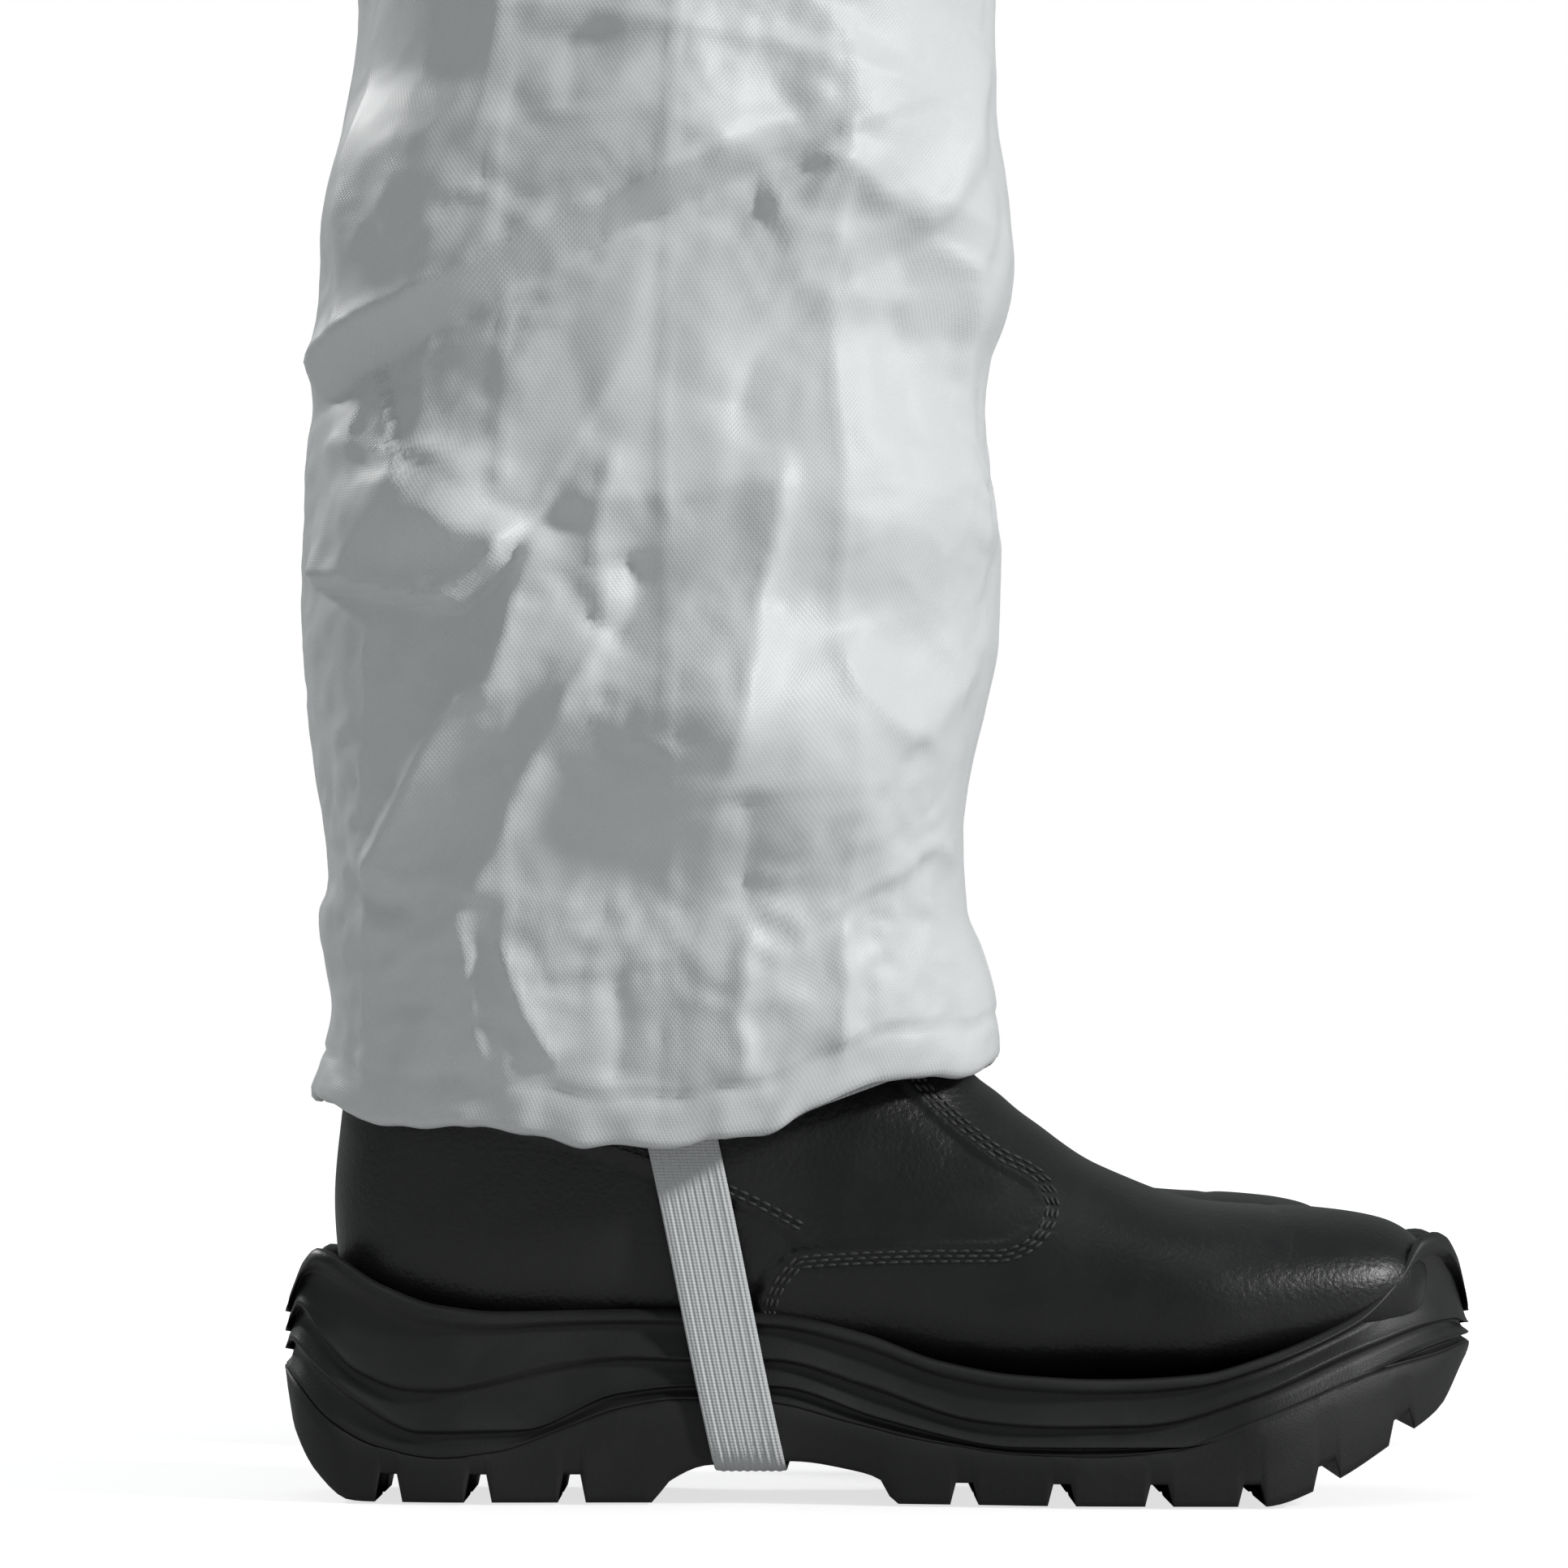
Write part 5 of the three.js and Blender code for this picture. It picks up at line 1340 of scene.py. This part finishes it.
def build_hood(material):
    columns = 72
    grid = hood_grid(columns, 12.0)
    grid[:3, :, :2] = grid[:3, :, :2] * np.array([1.03, 1.04, 1.0])[:, None, None]
    grid[0, :, :2] *= 0.94
    hood = grid_object("hood_fabric", place(grid), material, flip=True)
    close_loop(hood, lambda at: at.z > 1.8)
    flat = grid.reshape(-1, 3)
    opening = np.hypot(flat[:, 1] / FACE["half_width"], (flat[:, 2] - FACE["z"]) / FACE["half_height"])
    opening = np.where(flat[:, 0] > 0, opening, 9.0)
    pin = np.maximum.reduce([pinned_near(flat[:, 2] - NECK_Z, 26), pinned_near(np.maximum(opening - 1.1, 0), 0.35)])
    hang([(hood, pin)], 0.035, 22, 0.011)
    refine(hood, 2)

    def folds(local, normal):
        x, y, z = local.T
        span = np.hypot(y / FACE["half_width"], (z - FACE["z"]) / FACE["half_height"])
        beyond = (span - 1) * 78
        turn = np.arctan2((z - FACE["z"]) / FACE["half_height"], y / FACE["half_width"]) / (2 * np.pi)
        front = ease(-10, 20, x)
        pucker = gathers(turn, beyond, 811, 11, 2.4, 20) * front
        panel = -1.0 * np.exp(-((np.abs(y) - 42) / 2.0) ** 2) * ease(1600, 1640, z + 90 * (x < 20))
        held = ease(1558, 1585, z)
        neck = gathers(np.arctan2(y, x + 20) / (2 * np.pi), z - 1566, 821, 14, 1.6, 22)
        slack = sharp(noise(local, 92.0, 812), 0.06) * 2.2
        return (crumple(local, 813, 56.0) * 1.2 + slack) * held * ease(4, 22, beyond + 60 * (x < 0)) + (
            pucker + panel * held + neck * ease(1556, 1562, z))

    raise_surface(hood, folds)

    def inside(centre):
        y, z = centre.y / MM, centre.z / MM
        return centre.x - SHIFT > 0 and math.hypot(y / FACE["half_width"], (z - FACE["z"]) / FACE["half_height"]) < 1

    def snap(vertex):
        y, z = vertex.co.y / MM / FACE["half_width"], (vertex.co.z / MM - FACE["z"]) / FACE["half_height"]
        span = math.hypot(y, z)
        if vertex.co.x > SHIFT and span < 1.2:
            vertex.co.y = y / span * FACE["half_width"] * MM
            vertex.co.z = (FACE["z"] + z / span * FACE["half_height"]) * MM

    cut_opening(hood, inside, snap)
    hood.data.shade_smooth()
    count, around = 360, 14
    ring = []
    for i in range(count):
        turn = 2 * math.pi * i / count
        x, y, z = face_edge(turn)
        pucker = math.sin(turn * 44 + 1.7 * math.sin(turn * 7)) * 0.5 + math.sin(turn * 71 + 2) * 0.25
        outward = np.array([0, math.cos(turn), math.sin(turn)])
        row = []
        for k in range(around):
            roll = 2 * math.pi * k / around
            size = 4.6 + 0.8 * pucker * (0.4 + 0.6 * abs(math.cos(roll)))
            row.append(np.array([x - 1.5, y, z]) + outward * math.cos(roll) * size * 0.9
                       + np.array([1.0, 0, 0]) * math.sin(roll) * size * 0.72)
        ring.append(row)
    grid_rim = np.stack(ring)
    closed = np.concatenate([grid_rim, grid_rim[:1]], 0)
    rim = grid_object("face_opening_rim", place(closed), material, flip=True)
    face_outward(rim, weld=1e-6)
    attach(rim, "hood")
    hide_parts("face_elastic")
    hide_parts("hood_middle_panel", "hood_side_right", "hood_side_left")
    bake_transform(hood)
    return hood


def build_flap(material):
    """Storm flap: sewn at its hinge edge, raised over the zip, with two stitched edges."""
    foot, free = CHEST_X + 0.8, CHEST_X + FLAP["edge_lift"]
    raised = CHEST_X + FLAP["lift"]
    outline_points = [(foot, FLAP["hinge"] + 6), (foot + 0.2, FLAP["hinge"]), (raised, FLAP["hinge"] - FLAP["ramp"]),
                      (raised + 0.6, 4), (raised, -FLAP["free"] + FLAP["turn_in"]), (free, -FLAP["free"])]
    line = curve_through(outline_points, 0.9)
    run = np.gradient(line, axis=0)
    run /= np.linalg.norm(run, axis=1, keepdims=True)
    outward = np.stack([-run[:, 1], run[:, 0]], -1)
    if outward[:, 0].sum() < 0:
        outward = -outward
    low, high = bottom_mm("storm_flap"), top_mm("storm_flap")
    levels = np.concatenate([[low], np.arange(low + 2, high - 1, 2.4), [high]])
    along = np.arange(len(line)) / (len(line) - 1)
    stitch = np.exp(-((along - 0.06) / 0.016) ** 2) + np.exp(-((along - 0.93) / 0.016) ** 2)
    layers = []
    for thickness in (0.0, FLAP["thickness"]):
        rows = []
        for z in levels:
            at = np.column_stack([line, np.full(len(line), z)])
            wave = noise(at, 70.0, 901) * 1.1 + sharp(noise(at, 26.0, 902)) * 0.35 * np.sin(np.pi * along)
            wave = wave * np.sin(np.pi * np.clip(along * 1.15, 0, 1)) - stitch * 0.35 * (thickness > 0)
            shifted = line + outward * (thickness + wave)[:, None]
            rows.append(np.column_stack([shifted, np.full(len(line), z)]))
        layers.append(np.stack(rows))
    ring = np.concatenate([layers[1], layers[0][:, ::-1]], 1)
    flap = grid_object("storm_flap_fabric", place(ring), material, flip=True)
    face_outward(flap)
    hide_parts("storm_flap")
    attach(flap, "flap")
    return flap


def zip_teeth(material):
    """Coil of small teeth on each side of the zip, replacing the two plain strips."""
    for side, sign in SIDES.items():
        name = f"zip_coil_{side}"
        low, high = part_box(name)
        centre_x, centre_y = (low.x + high.x) / 2, (low.y + high.y) / 2
        deep, wide = (high.x - low.x) / 2, (high.y - low.y) / 2
        parts = []
        pitch = 0.0021
        for i in range(int((high.z - low.z) / pitch)):
            z = low.z + (i + 0.5) * pitch + (0.0005 if sign > 0 else -0.0005)
            rings = []
            for share, size in ((-1, 0.45), (-0.8, 0.9), (0, 1.0), (0.8, 1.0), (1, 0.6)):
                for k in range(6):
                    turn = k * math.pi / 3
                    rings.append((centre_x + math.cos(turn) * deep * size, centre_y + sign * -share * wide,
                                  z + math.sin(turn) * pitch * 0.36 * size))
            faces = [(a * 6 + k, a * 6 + (k + 1) % 6, a * 6 + 6 + (k + 1) % 6, a * 6 + 6 + k)
                     for a in range(4) for k in range(6)]
            faces += [tuple(range(5, -1, -1)), tuple(range(24, 30))]
            parts.append((rings, faces))
        teeth = new_object(f"zip_teeth_{side}", *merge(parts), material, smooth=False)
        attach(teeth, "suit")
        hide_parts(name)


# ------------------------------------------------------------------ settings, operators and panel
class SuitFabricSettings(bpy.types.PropertyGroup):
    """Looks of the coverall's white laminate."""

    colour: bpy.props.FloatVectorProperty(name="Colour", description="Colour of the clean laminate",
                                          default=(0.78, 0.795, 0.805), size=3, min=0, max=1, subtype="COLOR")
    lattice_pitch: bpy.props.FloatProperty(name="Lattice pitch", description="Distance between pressed lines",
                                           default=0.0012, min=0.0005, max=0.01, unit="LENGTH")
    creasing: bpy.props.FloatProperty(name="Creasing", description="Strength of the fine crumples",
                                      default=1.0, min=0.0, max=3.0, subtype="FACTOR")


class SuitBootSettings(bpy.types.PropertyGroup):
    """Looks of the safety boots."""

    leather_colour: bpy.props.FloatVectorProperty(name="Leather", description="Colour of the boots' leather",
                                                  default=(0.0095, 0.0095, 0.01), size=3, min=0, max=1,
                                                  subtype="COLOR")
    sole_colour: bpy.props.FloatVectorProperty(name="Midsole", description="Colour of the midsole's foam",
                                               default=(0.013, 0.013, 0.0135), size=3, min=0, max=1,
                                               subtype="COLOR")


class SuitStageSettings(bpy.types.PropertyGroup):
    """Camera and lights."""

    lens: bpy.props.FloatProperty(name="Lens", description="Focal length of the camera, in millimetres",
                                  default=135.0, min=20.0, max=300.0)
    key_power: bpy.props.FloatProperty(name="Key light", description="Power of the large light on the right",
                                       default=235.0, min=0.0, max=5000.0, unit="POWER")
    fill_power: bpy.props.FloatProperty(name="Fill light", description="Power of the weak light on the left",
                                        default=3.0, min=0.0, max=5000.0, unit="POWER")
    backdrop: bpy.props.FloatProperty(name="Backdrop", description="Brightness seen behind the object",
                                      default=1.0, min=0.0, max=5.0)


class SUIT_OT_trouser_legs(bpy.types.Operator):
    """Build both trouser legs with their gathered hems"""

    bl_idname = "suit.trouser_legs"
    bl_label = "Trouser Legs"

    def execute(self, context):
        for side in SIDES:
            build_leg(side, finish("fabric"))
            paint_node(f"{side}_ankle_elastic", finish("elastic"))
        return {"FINISHED"}


class SUIT_OT_trunk(bpy.types.Operator):
    """Build the trunk's fabric with its drawn waist"""

    bl_idname = "suit.trunk"
    bl_label = "Trunk"

    def execute(self, context):
        build_trunk(finish("fabric"))
        paint_node("waist_elastic", finish("elastic"))
        paint_node("crotch_gusset", finish("fabric"))
        return {"FINISHED"}


class SUIT_OT_sleeves(bpy.types.Operator):
    """Build both sleeves, each parted above the elbow, with gathered cuffs"""

    bl_idname = "suit.sleeves"
    bl_label = "Sleeves"

    def execute(self, context):
        for side in SIDES:
            build_sleeve(side, "upper", finish("fabric"))
            build_sleeve(side, "forearm", finish("fabric"))
        return {"FINISHED"}


class SUIT_OT_hood(bpy.types.Operator):
    """Build the hood and the gathered rim of its face opening"""

    bl_idname = "suit.hood"
    bl_label = "Hood"

    def execute(self, context):
        build_hood(finish("fabric"))
        return {"FINISHED"}


class SUIT_OT_zip(bpy.types.Operator):
    """Build the storm flap and the zip's teeth, and finish the zip's other parts"""

    bl_idname = "suit.zip"
    bl_label = "Zip and Storm Flap"

    def execute(self, context):
        build_flap(finish("fabric"))
        zip_teeth(finish("plastic"))
        paint_node("flap_adhesive_strip", finish("adhesive"))
        for name in ("zip_tape_right", "zip_tape_left"):
            paint_node(name, finish("tape"))
        for name in ("zip_bottom_stop", "zip_slider", "zip_puller"):
            paint_node(name, finish("plastic"))
        return {"FINISHED"}


class SUIT_OT_boots(bpy.types.Operator):
    """Build the boots' leather uppers and soles, and the stirrup straps round them"""

    bl_idname = "suit.boots"
    bl_label = "Boots and Stirrups"

    def execute(self, context):
        for side in SIDES:
            body = f"{side}_lower_leg"
            upper = boot_upper(side, finish("leather"), finish("thread"))
            cup = midsole(side, finish("midsole"))
            tread = outsole(side, finish("outsole"))
            for piece, name, slot in ((cup, "boot_midsole", "midsole_foam"), (tread, "boot_outsole", "tread_rubber")):
                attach(piece, body)
                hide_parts(f"{side}_{name}")
            stirrup(side, finish("knit"), [upper, cup, tread])
            for name, look in (("boot_insole", "felt"), ("boot_toe_cap", "steel"), ("boot_pull_tab", "webbing")):
                paint_node(f"{side}_{name}", finish(look))
        return {"FINISHED"}


def aim(thing, place_at, target):
    thing.location = Vector(place_at)
    thing.rotation_euler = (Vector(target) - Vector(place_at)).to_track_quat("-Z", "Y").to_euler()


class SUIT_OT_stage(bpy.types.Operator):
    """Set out the pale floor, the soft lights and the camera"""

    bl_idname = "suit.stage"
    bl_label = "Stage"

    def execute(self, context):
        settings = context.scene.suit_stage
        work = bmesh.new()
        bmesh.ops.create_circle(work, cap_ends=True, segments=96, radius=40.0)
        floor_mesh = bpy.data.meshes.new("floor")
        work.to_mesh(floor_mesh)
        work.free()
        floor = bpy.data.objects.new("floor", floor_mesh)
        floor.location.z = FLOOR - 0.0006
        context.scene.collection.objects.link(floor)
        pale = Finish("pale_floor", 0.75)
        mask = pale.effect(marks_group(), "Mask", Scale=1.5, Amount=0.2)
        pale.colour(mask, (0.5, 0.5, 0.5), (0.48, 0.48, 0.48))
        where = pale.tree.nodes.new("ShaderNodeTexCoord").outputs["Object"]
        away = node(pale.tree, "ShaderNodeVectorMath", {"operation": "LENGTH"}, i0=where).outputs["Value"]
        lift = maths(pale.tree, "MULTIPLY_ADD", maths(pale.tree, "MINIMUM", away, 1.4), 0.17, 0.7)
        glow = node(pale.tree, "ShaderNodeEmission", Color=(1, 1, 1, 1), Strength=lift)
        both = node(pale.tree, "ShaderNodeAddShader", i0=pale.shader.outputs[0], i1=glow.outputs[0])
        seen_by = pale.tree.nodes.new("ShaderNodeLightPath")
        pick = node(pale.tree, "ShaderNodeMixShader", i0=seen_by.outputs["Is Camera Ray"], i1=pale.shader.outputs[0],
                    i2=both.outputs[0])
        pale.tree.links.new(pick.outputs[0], pale.tree.nodes["Material Output"].inputs["Surface"])
        floor.data.materials.append(pale.material)

        world = bpy.data.worlds.new("studio")
        world.use_nodes = True
        context.scene.world = world
        tree = world.node_tree
        seen = tree.nodes["Background"]
        seen.inputs["Strength"].default_value = settings.backdrop
        seen.inputs["Color"].default_value = (1, 1, 1, 1)
        around = node(tree, "ShaderNodeBackground", Color=(0.92, 0.98, 0.97, 1), Strength=0.2)
        rays = tree.nodes.new("ShaderNodeLightPath")
        mix = tree.nodes.new("ShaderNodeMixShader")
        tree.links.new(rays.outputs["Is Camera Ray"], mix.inputs[0])
        tree.links.new(around.outputs[0], mix.inputs[1])
        tree.links.new(seen.outputs[0], mix.inputs[2])
        tree.links.new(mix.outputs[0], tree.nodes["World Output"].inputs["Surface"])

        for name, place_at, target, size, power in (
                ("key", (4.6, -2.5, 2.9), (0, 0, 0.6), 0.8, settings.key_power),
                ("fill", (-2.0, -2.4, 1.4), (0, 0, 0.6), 1.6, settings.fill_power),
                ("top", (-0.4, -0.6, 3.6), (0, 0, 0.6), 1.8, settings.fill_power * 4),
                ("back", (-3.4, 3.4, 3.2), (0, 0, 0.9), 0.7, settings.fill_power * 36)):
            data = bpy.data.lights.new(name, "AREA")
            data.shape = "DISK"
            data.size = size
            data.energy = power
            light = bpy.data.objects.new(name, data)
            aim(light, place_at, target)
            context.scene.collection.objects.link(light)

        lens = bpy.data.cameras.new("camera")
        lens.lens = settings.lens
        lens.sensor_width = 36
        camera = bpy.data.objects.new("camera", lens)
        aim(camera, (-0.005, -1.63, 0.1), (-0.005, -0.115, 0.182))
        context.scene.collection.objects.link(camera)
        context.scene.camera = camera
        context.scene.view_settings.view_transform = "Standard"
        return {"FINISHED"}


class SUIT_PT_build(bpy.types.Panel):
    """Lists the suit's settings and its build steps"""

    bl_label = "Protective Suit"
    bl_idname = "SUIT_PT_build"
    bl_space_type = "VIEW_3D"
    bl_region_type = "UI"
    bl_category = "Suit"

    def draw(self, context):
        layout = self.layout
        for held in (context.scene.suit_fabric, context.scene.suit_boots, context.scene.suit_stage):
            box = layout.box()
            for name in held.__annotations__:
                box.prop(held, name)
        for operator in OPERATORS:
            layout.operator(operator.bl_idname)


OPERATORS = (SUIT_OT_trouser_legs, SUIT_OT_trunk, SUIT_OT_sleeves, SUIT_OT_hood, SUIT_OT_zip, SUIT_OT_boots,
             SUIT_OT_stage)
GROUPS = (("suit_fabric", SuitFabricSettings), ("suit_boots", SuitBootSettings), ("suit_stage", SuitStageSettings))


def register():
    for name, group_class in GROUPS:
        bpy.utils.register_class(group_class)
        setattr(bpy.types.Scene, name, bpy.props.PointerProperty(type=group_class))
    for operator in OPERATORS:
        bpy.utils.register_class(operator)
    bpy.utils.register_class(SUIT_PT_build)


def unregister():
    bpy.utils.unregister_class(SUIT_PT_build)
    for operator in reversed(OPERATORS):
        bpy.utils.unregister_class(operator)
    for name, group_class in reversed(GROUPS):
        delattr(bpy.types.Scene, name)
        bpy.utils.unregister_class(group_class)


def main():
    register()
    bpy.ops.suit.stage()
    bpy.ops.suit.trouser_legs()
    bpy.ops.suit.trunk()
    bpy.ops.suit.sleeves()
    bpy.ops.suit.hood()
    bpy.ops.suit.zip()
    bpy.ops.suit.boots()


if __name__ == "__main__":
    main()
